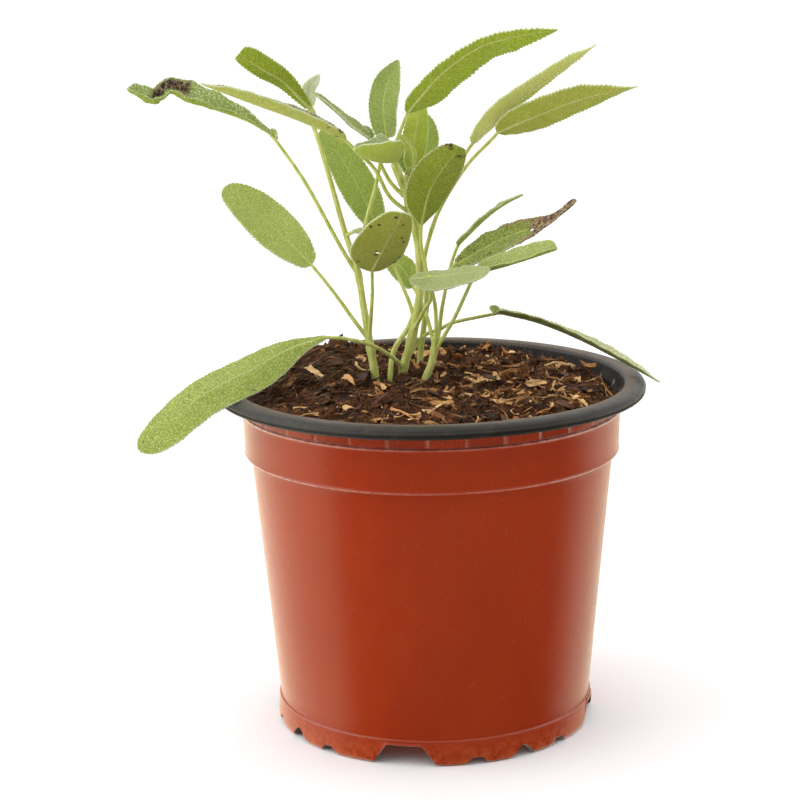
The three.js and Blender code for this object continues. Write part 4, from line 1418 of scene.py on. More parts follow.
@dataclass
class Stem:
    """A stem standing in the mix."""

    name: str
    path: Sequence[Point]
    radius: tuple[float, float]  # at its foot and at its tip
    nodes: Sequence[float] = ()  # where along it leaves leave it
    flushed: float = 0.25
    swell: float = 0.22
    square: float = 0.07
    down_from: float = 113.5  # height from which it is downy

    def thickness(self, t: np.ndarray) -> np.ndarray:
        """Radius along the stem, swollen where leaves leave it and rounded at its tip."""
        r = self.radius[0] + (self.radius[1] - self.radius[0]) * t
        for node in self.nodes:
            r = r * (1 + self.swell * np.exp(-((t - node) ** 2) / 0.0006))
        end = np.clip((1 - t) / 0.02, 0, 1)
        return r * np.sqrt(np.maximum(end * (2 - end), 0.02))

    def build(self, down: Down, hair: Material) -> None:
        """Make the stem with its down and hand it over."""
        path = Path(self.path)
        steps = int(path.length() / 0.9)
        stem = tube(self.name + "_fine", path, self.thickness, 20, steps, self.square)
        dress(stem, [StemFinish(self.name, flushed=self.flushed).material(), hair])
        roots, ways = coords_of(stem), normals_of(stem)
        draw = np.random.default_rng(len(self.path) * 7)
        above = roots[:, 2] > self.down_from * MM
        chosen = above & (draw.random(len(roots)) < 0.55)
        hairs = down.on(self.name + "_down", roots[chosen], ways[chosen], 3)
        hairs.data.materials.append(hair)
        made = join_into(stem, [hairs])
        hand_over(made, Slot.STEM, self.name)


@dataclass
class Leaf:
    """A leaf: its stalk, and a blade with toothed edges round its midrib."""

    name: str
    stalk: Sequence[Point]
    blade: Sequence[Point]  # the midrib
    face: Point  # which way the upper side looks
    width: float
    finish: LeafFinish
    fold: float = 10.0  # degrees that the halves are folded up from the midrib
    turn: float = 0.0  # degrees that the blade twists from base to tip
    outline: tuple[float, float] = (0.85, 0.62)  # powers that set where it is widest and how blunt it is
    wave: float = 0.5
    join: tuple[float, float] = (0.02, 0.1)  # where along the blade the stalk runs in under it
    tooth: float = 0.38
    pitch: float = 1.25  # from tooth to tooth
    point: float = 0.035  # share of the blade over which the tip narrows
    base: tuple[float, float] = (0.03, 0.03)  # the same at the base, for each side of the midrib
    widths: Sequence[tuple[float, float]] = ()  # place along it and share of the width, for its own outline
    dry: tuple[float, float] = (-1.0, 1.0)  # the strip, from edge to edge, that can wither
    holes: Sequence[tuple[float, float, float]] = ()  # place along it, from the midrib, and radius
    halves: tuple[float, float] = (1.0, 1.0)  # how wide each side of the midrib is
    thick: float = 0.5
    crinkle: float = 0.0
    node: bool = True  # it stands for a solid of the same name
    seed: int = 0
    grain: float = 0.26  # from row to row of its mesh
    colour: StemFinish = field(default_factory=lambda: StemFinish("leaf_stalk"))

    def reach(self, t: np.ndarray, s: np.ndarray) -> np.ndarray:
        """Half width of the outline along the blade, as a share of its greatest."""
        belly, blunt = self.outline
        full = np.sin(math.pi * (0.025 + 0.955 * t) ** belly) ** blunt
        if self.widths:
            stops, shares = np.array(self.widths, float).T
            full = np.interp(t, stops, shares)
            for shift in (0.015, 0.03):
                beside = np.interp(t - shift, stops, shares) + np.interp(t + shift, stops, shares)
                full = 0.5 * full + 0.25 * beside
        length = np.where(s < 0, self.base[0], self.base[1])
        tip = np.clip((1 - t) / self.point, 0, 1)
        tip = np.where(self.point < 0.1, np.sqrt(np.maximum(tip * (2 - tip), 0)), tip**0.75)
        base = np.clip(t / length, 0, 1)
        base = np.sqrt(np.maximum(base * (2 - base), 0))
        return np.maximum(full * tip * base, 0.02)

    def surface(self, t: np.ndarray, s: np.ndarray) -> tuple[np.ndarray, np.ndarray, np.ndarray]:
        """The middle of the blade's sheet.

        Args:
            t: Numbers from 0 at the base to 1 at the tip.
            s: Numbers from -1 at one edge to 1 at the other.

        Returns:
            Places in millimetres, the way the upper face looks, and the distance from the midrib.
        """
        path = Path(self.blade)
        at, along = path.at(t), path.along(t)
        face = np.broadcast_to(np.array(self.face, float), at.shape)
        face = unit(face - along * (face * along).sum(1, keepdims=True))
        face = turn_about(face, along, math.radians(self.turn) * (t - 0.3))
        side = np.cross(along, face)
        long = path.length()
        reach = self.reach(t, s)
        phase = np.mod(t * long / self.pitch + 0.2 * np.sin(t * 31 + self.seed), 1.0)
        tooth = self.tooth * (np.sin(math.pi * phase) ** 0.7) * np.clip(reach * 3, 0, 1)
        w = self.width / 2 * reach * np.where(s < 0, *self.halves)
        w = w + (tooth - 0.2) * np.abs(s) ** 5 * np.clip(reach * 3, 0, 1)
        fold = math.radians(self.fold)
        wave = self.wave * np.sin(7 * t + np.where(s > 0, 0.6, 2.2)) * np.abs(s) * reach
        ruffle = 0.13 * np.sin(2 * math.pi * t * long / 6.5 + self.seed + np.where(s > 0, 0, 1.7))
        wave = wave + ruffle * np.abs(s) ** 3 * np.clip(reach * 2, 0, 1)
        wave = wave + self.crinkle * soft_noise(t * long / 3, s * 2 + 7, 60 + self.seed, 2) * reach
        across = s * w
        places = (
            at
            + side * (across * math.cos(fold))[:, None]
            + face * (np.abs(s) ** 1.4 * w * math.sin(fold) + wave)[:, None]
        )
        return places, face, across

    def veins(self, t: np.ndarray, across: np.ndarray) -> tuple[np.ndarray, np.ndarray, np.ndarray]:
        """Where the veins run.

        Args:
            t: Numbers along the blade.
            across: Millimetres from the midrib.

        Returns:
            How much each place is on a side vein, on the midrib, and inside a cell of the fine net.
        """
        long = Path(self.blade).length()
        x, y = t * long, np.abs(across)
        gap = max(3.0, long / 13)
        lean = x - 0.95 * y + 0.02 * y * y + np.where(across > 0, 0.45 * gap, 0)
        off = np.abs(np.mod(lean / gap + 0.1 * soft_noise(x / 9, across / 9, 3), 1.0) - 0.5) * gap
        lateral = np.clip(1 - off / 0.4, 0, 1) * np.clip(1.15 - y / (self.width * 0.5), 0.1, 1)
        rib = np.clip(1.3 - y / (0.36 * (1 - 0.7 * t)), 0, 1) * np.clip((1 - t) / 0.4, 0, 1)
        cell = 0.95
        net = cell_edges(x / cell + 0.3 * soft_noise(x, across, 9), across / cell, 21 + self.seed)
        return lateral, rib, np.clip(net / 0.5, 0, 1)

    def blade_mesh(self) -> Object:
        """The blade as a sheet with thickness, veins and pebbled cells."""
        long = Path(self.blade).length()
        rows = int(np.clip(long / self.grain, 60, 260))
        columns = 2 * int(np.clip(self.width / 2 / (self.grain * 1.15), 8, 30))
        blade, u, v = new_grid(self.name + "_fine", rows, columns)
        s = 2 * v - 1
        s = np.sign(s) * (1 - (1 - np.abs(s)) ** 1.15)
        places, _, _ = self.surface(u, s)
        write_values(blade, "along", u)
        write_values(blade, "across", s)
        set_coords(blade, in_frame(places))
        if self.holes:
            self.pierce(blade)
        apply_modifier(blade, "sheet", "SOLIDIFY", thickness=self.thick * MM, offset=0.0)
        u, s = read_values(blade, "along"), read_values(blade, "across")
        middle, face, across = self.surface(u, s)
        off = coords_of(blade) - in_frame(middle)
        over = ((off * face).sum(1) > 0).astype(float)
        vein, rib, net = self.veins(u, across)
        rim = np.clip((1 - np.abs(s)) * self.width / 2 * self.reach(u, s) / 0.3, 0, 1)
        quilt = np.clip(1 - vein, 0, 1)
        above = 0.12 * net - 0.14 * vein - 0.22 * rib
        below = 0.07 * net + 0.12 * vein + 0.05 * quilt + 0.2 * rib
        bulge = np.where(over > 0.5, above, below) * rim
        set_coords(blade, coords_of(blade) + normals_of(blade) * bulge[:, None] * MM)
        write_values(blade, "net", net)
        write_values(blade, "vein", vein * rim)
        write_values(blade, "rib", rib * rim)
        dry = np.clip((s - self.dry[0]) * 4, 0, 1) * np.clip((self.dry[1] - s) * 4 + 1, 0, 1)
        write_values(blade, "dry", dry)
        write_values(blade, "over", over)
        write_values(blade, "margin", 1 - rim)
        write_values(blade, "fringe", np.clip((np.abs(s) - 0.55) / 0.45, 0, 1))
        return blade

    def pierce(self, blade: Object) -> None:
        """Take out the small round holes that something has eaten."""
        u, s = read_values(blade, "along"), read_values(blade, "across")
        long = Path(self.blade).length()
        half = self.width / 2 * self.reach(u, s)
        doomed = np.zeros(len(u), bool)
        for t, across, radius in self.holes:
            doomed |= np.hypot((u - t) * long, s * half - across) < radius
        pick(blade)
        bpy.ops.object.mode_set(mode="EDIT")
        bpy.ops.mesh.select_mode(type="VERT")
        bpy.ops.mesh.select_all(action="DESELECT")
        bpy.ops.object.mode_set(mode="OBJECT")
        blade.data.vertices.foreach_set("select", doomed)
        bpy.ops.object.mode_set(mode="EDIT")
        bpy.ops.mesh.delete(type="VERT")
        bpy.ops.object.mode_set(mode="OBJECT")

    def stalk_mesh(self) -> Object:
        """The stalk, running on under the blade as the midrib."""
        midrib = Path(self.blade)
        ts = np.array([*self.join, *np.linspace(self.join[1] + 0.12, 0.94, 6)])
        under = midrib.at(ts)
        face = np.broadcast_to(np.array(self.face, float), under.shape)
        along = midrib.along(ts)
        face = unit(face - along * (face * along).sum(1, keepdims=True))
        under = under - face * np.linspace(0.1, 0.28, len(ts))[:, None]
        points = [*self.stalk, *map(tuple, under)]
        knee = len(self.stalk) / (len(points) - 1)

        def radius(t: np.ndarray) -> np.ndarray:
            """Full at the stem, thinner to the blade, then tapering to the tip."""
            on_stalk = 0.72 - 0.2 * t / knee
            on_blade = 0.52 - 0.42 * (t - knee) / (1 - knee)
            return np.where(t < knee, on_stalk, np.maximum(on_blade, 0.1))

        path = Path(points)
        return tube(self.name + "_stalk", path, radius, 12, int(np.clip(path.length() / 0.7, 12, 160)))

    def build(self, down: Down, hair: Material) -> Object:
        """Make the leaf with its stalk and down and hand it over.

        Args:
            down: How the hairs grow.
            hair: The hairs' material.

        Returns:
            The finished leaf.
        """
        blade = self.blade_mesh()
        u, s = read_values(blade, "along"), read_values(blade, "across")
        roots, ways = coords_of(blade), normals_of(blade)
        draw = np.random.default_rng(self.seed + 5)
        chance = np.where(np.abs(s) > 0.985, 0.3 if self.fold > 40 else 0.9, 0.05)
        chosen = draw.random(len(u)) < chance
        dress(blade, [self.finish.material()])
        stalk = self.stalk_mesh()
        dress(stalk, [self.colour.material()])
        stalk_roots, stalk_ways = coords_of(stalk), normals_of(stalk)
        some = draw.random(len(stalk_roots)) < 0.4
        hairs = down.on(
            self.name + "_down",
            np.vstack([roots[chosen], stalk_roots[some]]),
            np.vstack([ways[chosen], stalk_ways[some]]),
            self.seed,
        )
        hairs.data.materials.append(hair)
        made = join_into(blade, [stalk, hairs])
        hand_over(made, Slot.LEAF, *([self.name] if self.node else []))
        return made


# ---------------------------------------------------------------- the plant


@dataclass
class SagePlant:
    """All the stems and leaves."""

    down: Down = field(default_factory=Down)

    def stems(self) -> list[Stem]:
        """The five stems."""
        return [
            Stem("stem_left", [
                (-17.5, 1.5, 100), (-18, 1.5, 112), (-19.5, 2.5, 123), (-21.5, 4, 136),
                (-23.5, 5.5, 149), (-27.5, 7, 162), (-33.5, 9.5, 184.5), (-38, 10, 199.5),
            ], (1.45, 0.6), (0.29, 0.55, 0.97)),
            Stem("stem_centre", [
                (-10.5, 8.5, 100), (-9, 8.5, 115), (-7, 9, 122), (-3.5, 10, 137.5), (-3.4, 9, 155),
                (-6.4, 6, 171), (-8.6, 3, 178), (-11, 0, 184.6),
            ], (1.4, 1.22), (0.16, 0.32, 0.7)),
            Stem("stem_back", [
                (-4, 15.5, 100), (-3.5, 15.5, 116.5), (-2, 16, 128.5), (-1, 16, 137), (-2, 15, 152.5),
            ], (1.0, 0.8), (0.95,)),
            Stem("stem_right", [(-4, 1.5, 100), (-2, 1.5, 112), (0.5, 1.5, 119), (2, 1.5, 128)],
                 (1.35, 1.1), (0.8,)),
            Stem("side_shoot", [
                (-14, 4, 100), (-13.5, 5, 112), (-12, 10.5, 121), (-6.5, 19.5, 128.5),
                (-3.5, 23, 140.5), (-3.5, 22, 164), (-4.5, 20, 175),
            ], (0.9, 0.7), (0.97,)),
        ]

    def leaves(self) -> list[Leaf]:
        """The 25 leaves, and the small ones just opening."""
        grey = LeafFinish("grey_green_leaf")
        rough = LeafFinish(
            "rough_grey_leaf", upper=(246, 244, 214), upper_deep=(188, 192, 142), contrast=0.75,
            under=(150, 156, 66), under_deep=(106, 118, 36), edging=0.2,
        )
        dull = LeafFinish(
            "dull_green_leaf", upper=(176, 190, 92), upper_deep=(118, 140, 40), fuzz=0.24,
        )
        dark = LeafFinish(
            "dark_edge_on_leaf", upper=(164, 178, 92), upper_deep=(120, 140, 50), fuzz=0.2,
            under=(162, 174, 66), under_deep=(126, 142, 36),
        )
        tall = LeafFinish(
            "tall_grey_leaf", upper=(157, 171, 86), upper_deep=(108, 129, 42), contrast=0.5,
        )
        lit = LeafFinish(
            "lit_underside_leaf", upper=(204, 212, 160), upper_deep=(120, 140, 76),
            under=(184, 193, 88), under_deep=(142, 160, 50), vein=(214, 218, 150),
        )
        beige = LeafFinish(
            "beige_underside_leaf", under=(218, 216, 142), under_deep=(186, 188, 92),
            vein=(238, 232, 184),
        )
        bright = LeafFinish(
            "bright_underside_leaf", under=(183, 194, 58), under_deep=(125, 145, 18), contrast=0.8,
        )
        olive = LeafFinish(
            "olive_underside_leaf", under=(172, 173, 70), under_deep=(134, 139, 40),
            vein=(196, 188, 120), dots=0.95, contrast=0.65,
        )
        olive_burnt = LeafFinish(
            "olive_leaf_with_burnt_tip", under=(168, 178, 62), under_deep=(118, 134, 28),
            vein=(196, 196, 116), spots=0.3, burnt=(0.9, 1.0), rusty=0.2, contrast=0.8,
        )
        spotted = LeafFinish(
            "grey_spotted_leaf", upper=(198, 205, 102), upper_deep=(108, 127, 30), contrast=0.85,
            spots=0.8, spot=(104, 90, 66), vein=(204, 210, 156),
        )
        dry_under = LeafFinish(
            "drying_underside_leaf", under=(182, 179, 82), under_deep=(138, 148, 40),
            vein=(212, 206, 136), contrast=0.7,
        )
        withered = LeafFinish(
            "withered_leaf", upper=(170, 179, 84), upper_deep=(104, 118, 32), contrast=0.9,
            spots=1.0, vein=(178, 180, 104), wither=0.6, rusty=1.0,
        )
        curled = LeafFinish(
            "curled_leaf", upper=(240, 242, 194), upper_deep=(144, 164, 78), under=(190, 200, 68),
            edging=0.15, contrast=1.0, wither=0.38, green_again=0.8,
            husk=((44, 32, 22), (160, 134, 100)),
        )
        pale = LeafFinish("pale_leaf", upper=(176, 182, 122), upper_deep=(134, 146, 80), fuzz=0.4)
        drooping = LeafFinish(
            "drooping_leaf", upper=(198, 206, 134), under=(160, 168, 44), edging=0.15,
        )
        whitish = LeafFinish(
            "young_leaf", upper=(238, 242, 220), upper_deep=(212, 220, 176), fuzz=0.5,
        )
        backlit = LeafFinish(
            "backlit_leaf", under=(206, 214, 98), under_deep=(162, 180, 60), vein=(226, 228, 160),
        )
        folded = LeafFinish(
            "folded_leaf", upper=(212, 208, 168), upper_deep=(138, 134, 82), contrast=1.0,
            under=(204, 202, 120), under_deep=(166, 172, 72), burnt=(0.0, 0.12),
        )
        return [
            Leaf("leaf_left_low_large",
                 [(-9, 8.5, 115), (-11, 5, 118.5), (-16.5, -1.5, 124), (-22.5, -4, 127), (-29.5, -5, 128.5)],
                 [(-33.5, -5, 129), (-45, -10.8, 126.4), (-57, -18.8, 121.4), (-73, -30.8, 114.9),
                  (-89.5, -46.8, 101.9)],
                 (-0.3, -0.65, 0.7), 17, spotted, fold=-8, point=0.05, halves=(1.08, 1),
                 widths=((0, 0.1), (0.1, 0.22), (0.2, 0.42), (0.35, 0.76), (0.5, 0.96), (0.65, 1),
                         (0.8, 0.94), (0.9, 0.84), (0.96, 0.66), (1, 0.4))),
            Leaf("leaf_left_middle",
                 [(-20, 3, 126), (-25.5, 4, 133.5), (-29, 5, 138.5), (-34, 6.5, 145)],
                 [(-38.5, 8, 150.5), (-47.7, 11, 159.1), (-57.3, 14, 167.7), (-67.2, 16, 175)],
                 (0.25, -0.85, 0.45), 15.2, grey, outline=(1, 0.5)),
            Leaf("leaf_left_curled_tip",
                 [(-24, 5.5, 148.5), (-29, 6, 157), (-38.5, 8, 175), (-44.5, 9, 184.5)],
                 [(-49.8, 9.5, 192.8), (-59.7, 7, 198.9), (-69.6, 4, 202.6), (-76.5, 1.5, 205.2),
                  (-81.3, -0.5, 207.9), (-84.2, -2, 205.9), (-87, -3, 204.9), (-91, -4, 206.9),
                  (-94.4, -5, 209.4)],
                 (0.1, -0.45, 0.9), 13, curled, fold=48, turn=10, crinkle=0.9, tooth=0.3, halves=(0.55, 1),
                 dry=(0.1, 0.8),
                 widths=((0, 0.12), (0.06, 0.26), (0.125, 0.46), (0.2, 0.7), (0.28, 0.9), (0.36, 1),
                         (0.43, 0.95), (0.5, 0.78), (0.6, 0.66), (0.72, 0.66), (0.8, 0.7), (0.9, 0.64),
                         (1, 0.36))),
            Leaf("leaf_left_folded",
                 [(-6, 7, 167), (-12.5, 4, 173), (-17, 2, 182), (-22.5, 0, 188)],
                 [(-26, -2, 192.4), (-41.5, -7, 199.7), (-55, -12, 205.4), (-69.9, -17, 211.8)],
                 (0, -0.05, 1), 10.4, folded, fold=40, outline=(0.8, 0.7), point=0.14, tooth=0.3),
            Leaf("leaf_top_left", [(-37.3, 9.9, 196.5), (-37.4, 9.2, 199)],
                 [(-38, 8, 201.5), (-45.5, 0, 210.5), (-52.2, -7, 215.5), (-58.3, -13, 220.4)],
                 (-0.35, 0.8, 0.45), 9.6, bright, point=0.03, tooth=0.6, halves=(0.86, 0.56),
                 widths=((0, 0.3), (0.15, 0.6), (0.35, 0.86), (0.55, 1), (0.75, 1), (0.88, 0.93), (0.95, 0.8),
                         (1, 0.6))),
            Leaf("leaf_top_left_young", [(-37, 10.2, 196), (-36.6, 11.6, 199.5)],
                 [(-37.5, 10.5, 201.5), (-38.5, 10, 207), (-34.5, 9, 212)],
                 (0.5, -0.8, 0.2), 5.5, whitish, fold=20, tooth=0.2),
            Leaf("leaf_left_slim", [(-8, 5.5, 173), (-12, 7, 177), (-15, 7.5, 182.5), (-17, 6.5, 188)],
                 [(-18.5, 5, 191.5), (-26.5, 3, 198.5), (-36, 0, 207)],
                 (0.1, -0.4, 0.9), 7.5, pale, fold=24, halves=(1, 0.62)),
            Leaf("leaf_tall_grey", [(-24, 5.5, 149.5), (-20.5, 9, 164), (-17, 11, 176), (-15, 12, 185.5)],
                 [(-13.2, 12, 191), (-14.2, 13.5, 200.5), (-12.7, 16, 208.5), (-9.2, 20, 215.5)],
                 (-0.4, -1, 0.25), 10.5, tall, fold=8, point=0.03, tooth=0.3,
                 widths=((0, 0.6), (0.15, 0.86), (0.35, 1), (0.6, 0.95), (0.78, 0.7), (0.92, 0.34),
                         (1, 0.1))),
            Leaf("leaf_round_front", [(-20, 3, 125.5), (-19, -1, 136.5), (-18.5, -3, 143.5)],
                 [(-18.5, -6.5, 150.5), (-14.2, -18, 159.8), (-7.8, -30, 172.5)],
                 (-0.1, 0.75, 0.6), 17.5, olive, outline=(0.95, 0.5), fold=8, holes=((0.4, 0.9, 0.75),),
                 halves=(0.84, 1.12)),
            Leaf("leaf_back_left_broad",
                 [(-5, 9.5, 129.5), (-6.5, 14, 135.5), (-9.5, 16, 143), (-12, 17, 149.5)],
                 [(-16.8, 18.6, 160.5), (-21.5, 21, 170.5), (-27.5, 25, 181), (-35.5, 30, 192)],
                 (0.15, -0.9, 0.4), 12.5, dull, outline=(0.95, 0.5)),
            Leaf("leaf_crown_cupped", [(-9.3, 2.6, 179.5), (-10.6, 0.6, 183)],
                 [(-9.6, -0.6, 185), (-14, -2.6, 185.1), (-18.4, -4.6, 186.3), (-23.4, -7, 189.6)],
                 (0.2, 0, 0.98), 16.5, lit, fold=47, tooth=0.3, halves=(1.45, 1.25),
                 widths=((0, 0.66), (0.15, 0.95), (0.35, 1), (0.6, 0.86), (0.8, 0.6), (1, 0.2))),
            Leaf("leaf_crown_inner", [(-8.5, 4, 177.5), (-6.5, 5, 179.5)],
                 [(-5.5, 6, 180.5), (-5.5, 7, 187.5), (-9, 8, 192.5)],
                 (-0.7, 0.7, 0), 5.5, lit, fold=20, tooth=0.2),
            Leaf("leaf_crown_dark", [(-8.2, 4.6, 175), (-7.5, 8, 177.5)],
                 [(-7, 9.5, 180), (-7.5, 11, 184.5), (-10, 12, 188.5)],
                 (0.2, -0.95, 0.2), 5, dull, fold=12),
            Leaf("leaf_top_right_broad", [(-10.5, 3, 181), (-10.3, 2.2, 189), (-8.6, 1.2, 194.5)],
                 [(-6.5, 0, 200.1), (-1.9, -5, 205.9), (5, -12, 213.8), (16, -20, 221.9),
                  (26.8, -26, 225.3), (39.6, -30, 227.4)],
                 (-0.3, 0.85, 0.45), 14.5, bright, fold=6, tooth=0.75, pitch=1.4, halves=(1.15, 0.42),
                 base=(0.34, 0.12),
                 widths=((0, 0.4), (0.08, 0.8), (0.18, 1), (0.3, 0.97), (0.45, 1), (0.6, 0.86), (0.75, 0.78),
                         (0.9, 0.36), (1, 0.05))),
            Leaf("leaf_right_narrow",
                 [(-2, 15.3, 150), (-0.6, 17, 155), (3.5, 14, 167.5), (9, 9, 180), (12.5, 8, 186.5)],
                 [(14.4, 7, 189.4), (24.9, 2, 200.4), (38.4, -5, 210.9), (52.5, -12, 221.5)],
                 (-0.35, 0.85, 0.45), 9.0, beige, outline=(0.8, 0.7), fold=5, point=0.14, tooth=0.7,
                 pitch=1.15, halves=(0.38, 1.0)),
            Leaf("leaf_right_pointed",
                 [(-2, 14.7, 147), (-1.2, 12.6, 153), (1.5, 10.5, 163), (6, 7.5, 172.5), (13, 6, 183),
                  (20, 3, 190.5)],
                 [(22.3, 2.2, 193.4), (32.5, -5, 198.4), (48, -15, 205.3), (64.2, -26, 209.6)],
                 (-0.15, 0.9, 0.45), 11.2, dry_under, outline=(0.88, 0.62), fold=8, point=0.3, tooth=0.7,
                 pitch=1.15),
            Leaf("leaf_centre_broad",
                 [(2, 1.5, 127), (2, 1.5, 132), (1.5, 2, 139), (-0.5, 3, 147), (-2.5, 4, 156.5)],
                 [(-2.5, 3.5, 163.5), (1, -3, 177), (10, -11, 190.5)],
                 (-0.25, 0.95, 0.15), 15.5, olive_burnt, outline=(1.15, 0.55), fold=16, base=(0.24, 0.24)),
            Leaf("leaf_back_pale", [(-4.5, 20, 173.5), (-5, 17, 179.5)],
                 [(-5, 16, 180.5), (-4, 12, 191.5), (-2, 8, 203.5)],
                 (0.1, 1, 0.2), 8.4, backlit, outline=(0.9, 0.6), fold=16),
            Leaf("leaf_back_dark", [(-4.5, 20, 173), (-3, 22.5, 178.5)],
                 [(-2.5, 22, 181), (0, 24, 189), (-0.5, 28, 197)],
                 (0.1, -1, 0.3), 7.5, dull, outline=(0.9, 0.6)),
            Leaf("leaf_back_low", [(1.5, 1.5, 123.5), (-1, 6, 133), (-3, 14, 137), (-5, 18.5, 140)],
                 [(-5.5, 19.5, 140.5), (-9, 22, 146.5), (-14, 25, 149)],
                 (0.1, -0.95, 0.3), 8.5, dull, outline=(0.95, 0.5)),
            Leaf("leaf_right_edge_on",
                 [(2, 1.8, 124), (3, 3.8, 129), (3.8, 4.8, 135), (5, 6, 141), (6.5, 7.5, 147.5),
                  (8, 8.5, 152.5)],
                 [(9.2, 9, 156), (17.8, 12, 163.8), (24.2, 13.5, 168.4), (31, 15, 171.6)],
                 (-0.5, 0, 0.85), 8, dark, fold=26, tooth=0.2, halves=(0.5, 1),
                 widths=((0, 0.7), (0.08, 0.8), (0.16, 0.66), (0.3, 0.9), (0.45, 1), (0.65, 0.8), (0.85, 0.4),
                         (1, 0.12))),
            Leaf("leaf_right_withered", [(6, 7, 145.5), (6.5, 6, 147), (8.5, 5, 150.5)],
                 [(8.5, 5, 150), (19, 3, 156.4), (29, 0, 161.4), (39, -3, 165.8), (47, -5, 172.1)],
                 (-0.3, -0.6, 0.75), 12.6, withered, turn=-25, halves=(0.94, 1.12), crinkle=0.7, wave=0.9,
                 holes=((0.6, 1.1, 0.7), (0.57, 0.1, 0.4)),
                 widths=((0, 0.3), (0.1, 0.62), (0.25, 0.92), (0.38, 1), (0.46, 0.86), (0.54, 0.74),
                         (0.62, 0.62), (0.7, 0.42), (0.76, 0.27), (0.84, 0.21), (0.93, 0.24), (1, 0.26))),
            Leaf("leaf_right_drooping", [(1, 1.5, 121), (3.5, 0.5, 126), (8, -1, 134), (13.5, -3, 146)],
                 [(14.6, -4, 149), (23, -8, 151.7), (31.6, -12, 154.9), (40.2, -16, 158.3)],
                 (0, -0.45, 0.9), 10.5, drooping, fold=47, tooth=0.25, point=0.04, halves=(0.92, 0.46),
                 widths=((0, 0.3), (0.12, 0.7), (0.3, 1), (0.5, 1), (0.65, 0.9), (0.8, 0.82), (0.93, 0.76),
                         (1, 0.5))),
            Leaf("leaf_front_pale", [(-5.5, 9.5, 127.5), (-2, 3, 135.5), (0.5, -1.5, 141)],
                 [(-6, -1.5, 147), (1, -4, 147.8), (8.5, -10, 149.8), (18.7, -18, 151.7)],
                 (0.1, -0.6, 0.8), 10, pale, fold=-10, join=(0.24, 0.34), tooth=0.2, halves=(1, 1.22),
                 widths=((0, 0.3), (0.12, 0.62), (0.3, 0.92), (0.5, 1), (0.7, 0.94), (0.85, 0.76),
                         (0.95, 0.56), (1, 0.36))),
            Leaf("leaf_right_over_rim",
                 [(-8.5, 8.5, 116), (-6, 9.5, 121), (-1.5, 11, 126), (3, 12, 127.5), (8, 14, 129.5),
                  (21.5, 20, 131)],
                 [(22.5, 18, 132), (36.5, 17, 128.5), (51, 12, 123), (63.5, 3.5, 117.5), (74.1, -6.2, 112.8)],
                 (0.2, -0.3, 0.92), 8.4, rough, fold=46, point=0.1, halves=(0.62, 1.2),
                 widths=((0, 0.5), (0.1, 0.6), (0.22, 0.66), (0.36, 0.8), (0.5, 0.95), (0.65, 0.88),
                         (0.8, 0.6), (0.9, 0.36), (1, 0.24))),
            Leaf("ear_over_rim", [(22.9, 18.6, 131.5), (22.8, 18.5, 131.8)],
                 [(22.9, 18.3, 132.2), (21.6, 18.2, 133), (20, 18.1, 133.4)],
                 (0.2, -0.9, 0.35), 2.8, grey, outline=(1, 0.5), node=False, tooth=0.15),
            Leaf("ear_curled_leaf", [(-48.9, 9.5, 191.6), (-48.9, 9.4, 192)],
                 [(-48.9, 9.3, 192.3), (-49.5, 9, 193.6), (-50.4, 8.8, 194.8)],
                 (-0.5, -0.8, 0.2), 2.2, grey, outline=(1, 0.5), node=False, tooth=0.15),
            Leaf("bud_beside_slim_leaf", [(-16.9, 6.5, 188), (-17.4, 6.6, 190.6)],
                 [(-17.8, 6.6, 191.6), (-19.4, 6.4, 193.8), (-21.3, 6, 195.2)],
                 (0.1, -0.9, 0.4), 3.2, pale, outline=(0.9, 0.6), node=False),
            Leaf("bud_on_left_stem", [(-26.9, 6.6, 160), (-25.6, 5.8, 161)],
                 [(-25, 5.6, 161.3), (-23, 5, 162), (-21, 4.6, 161.6)],
                 (0.1, -0.5, 0.9), 2.2, pale, outline=(0.9, 0.6), node=False),
            Leaf("bud_in_crown", [(-7.8, 4.6, 176.5), (-7, 4.8, 178)],
                 [(-6.8, 4.9, 178.6), (-6.2, 5, 180.2), (-5.8, 5.2, 182)],
                 (0.3, 0.8, 0.3), 2.2, pale, outline=(0.9, 0.6), node=False),
        ]

    def build(self) -> None:
        """Make and hand over every stem and leaf."""
        hair = HairFinish().material()
        for stem in self.stems():
            stem.build(self.down, hair)
        for seed, leaf in enumerate(self.leaves()):
            leaf.seed = seed
            leaf.build(self.down, hair)


# ---------------------------------------------------------------- stage


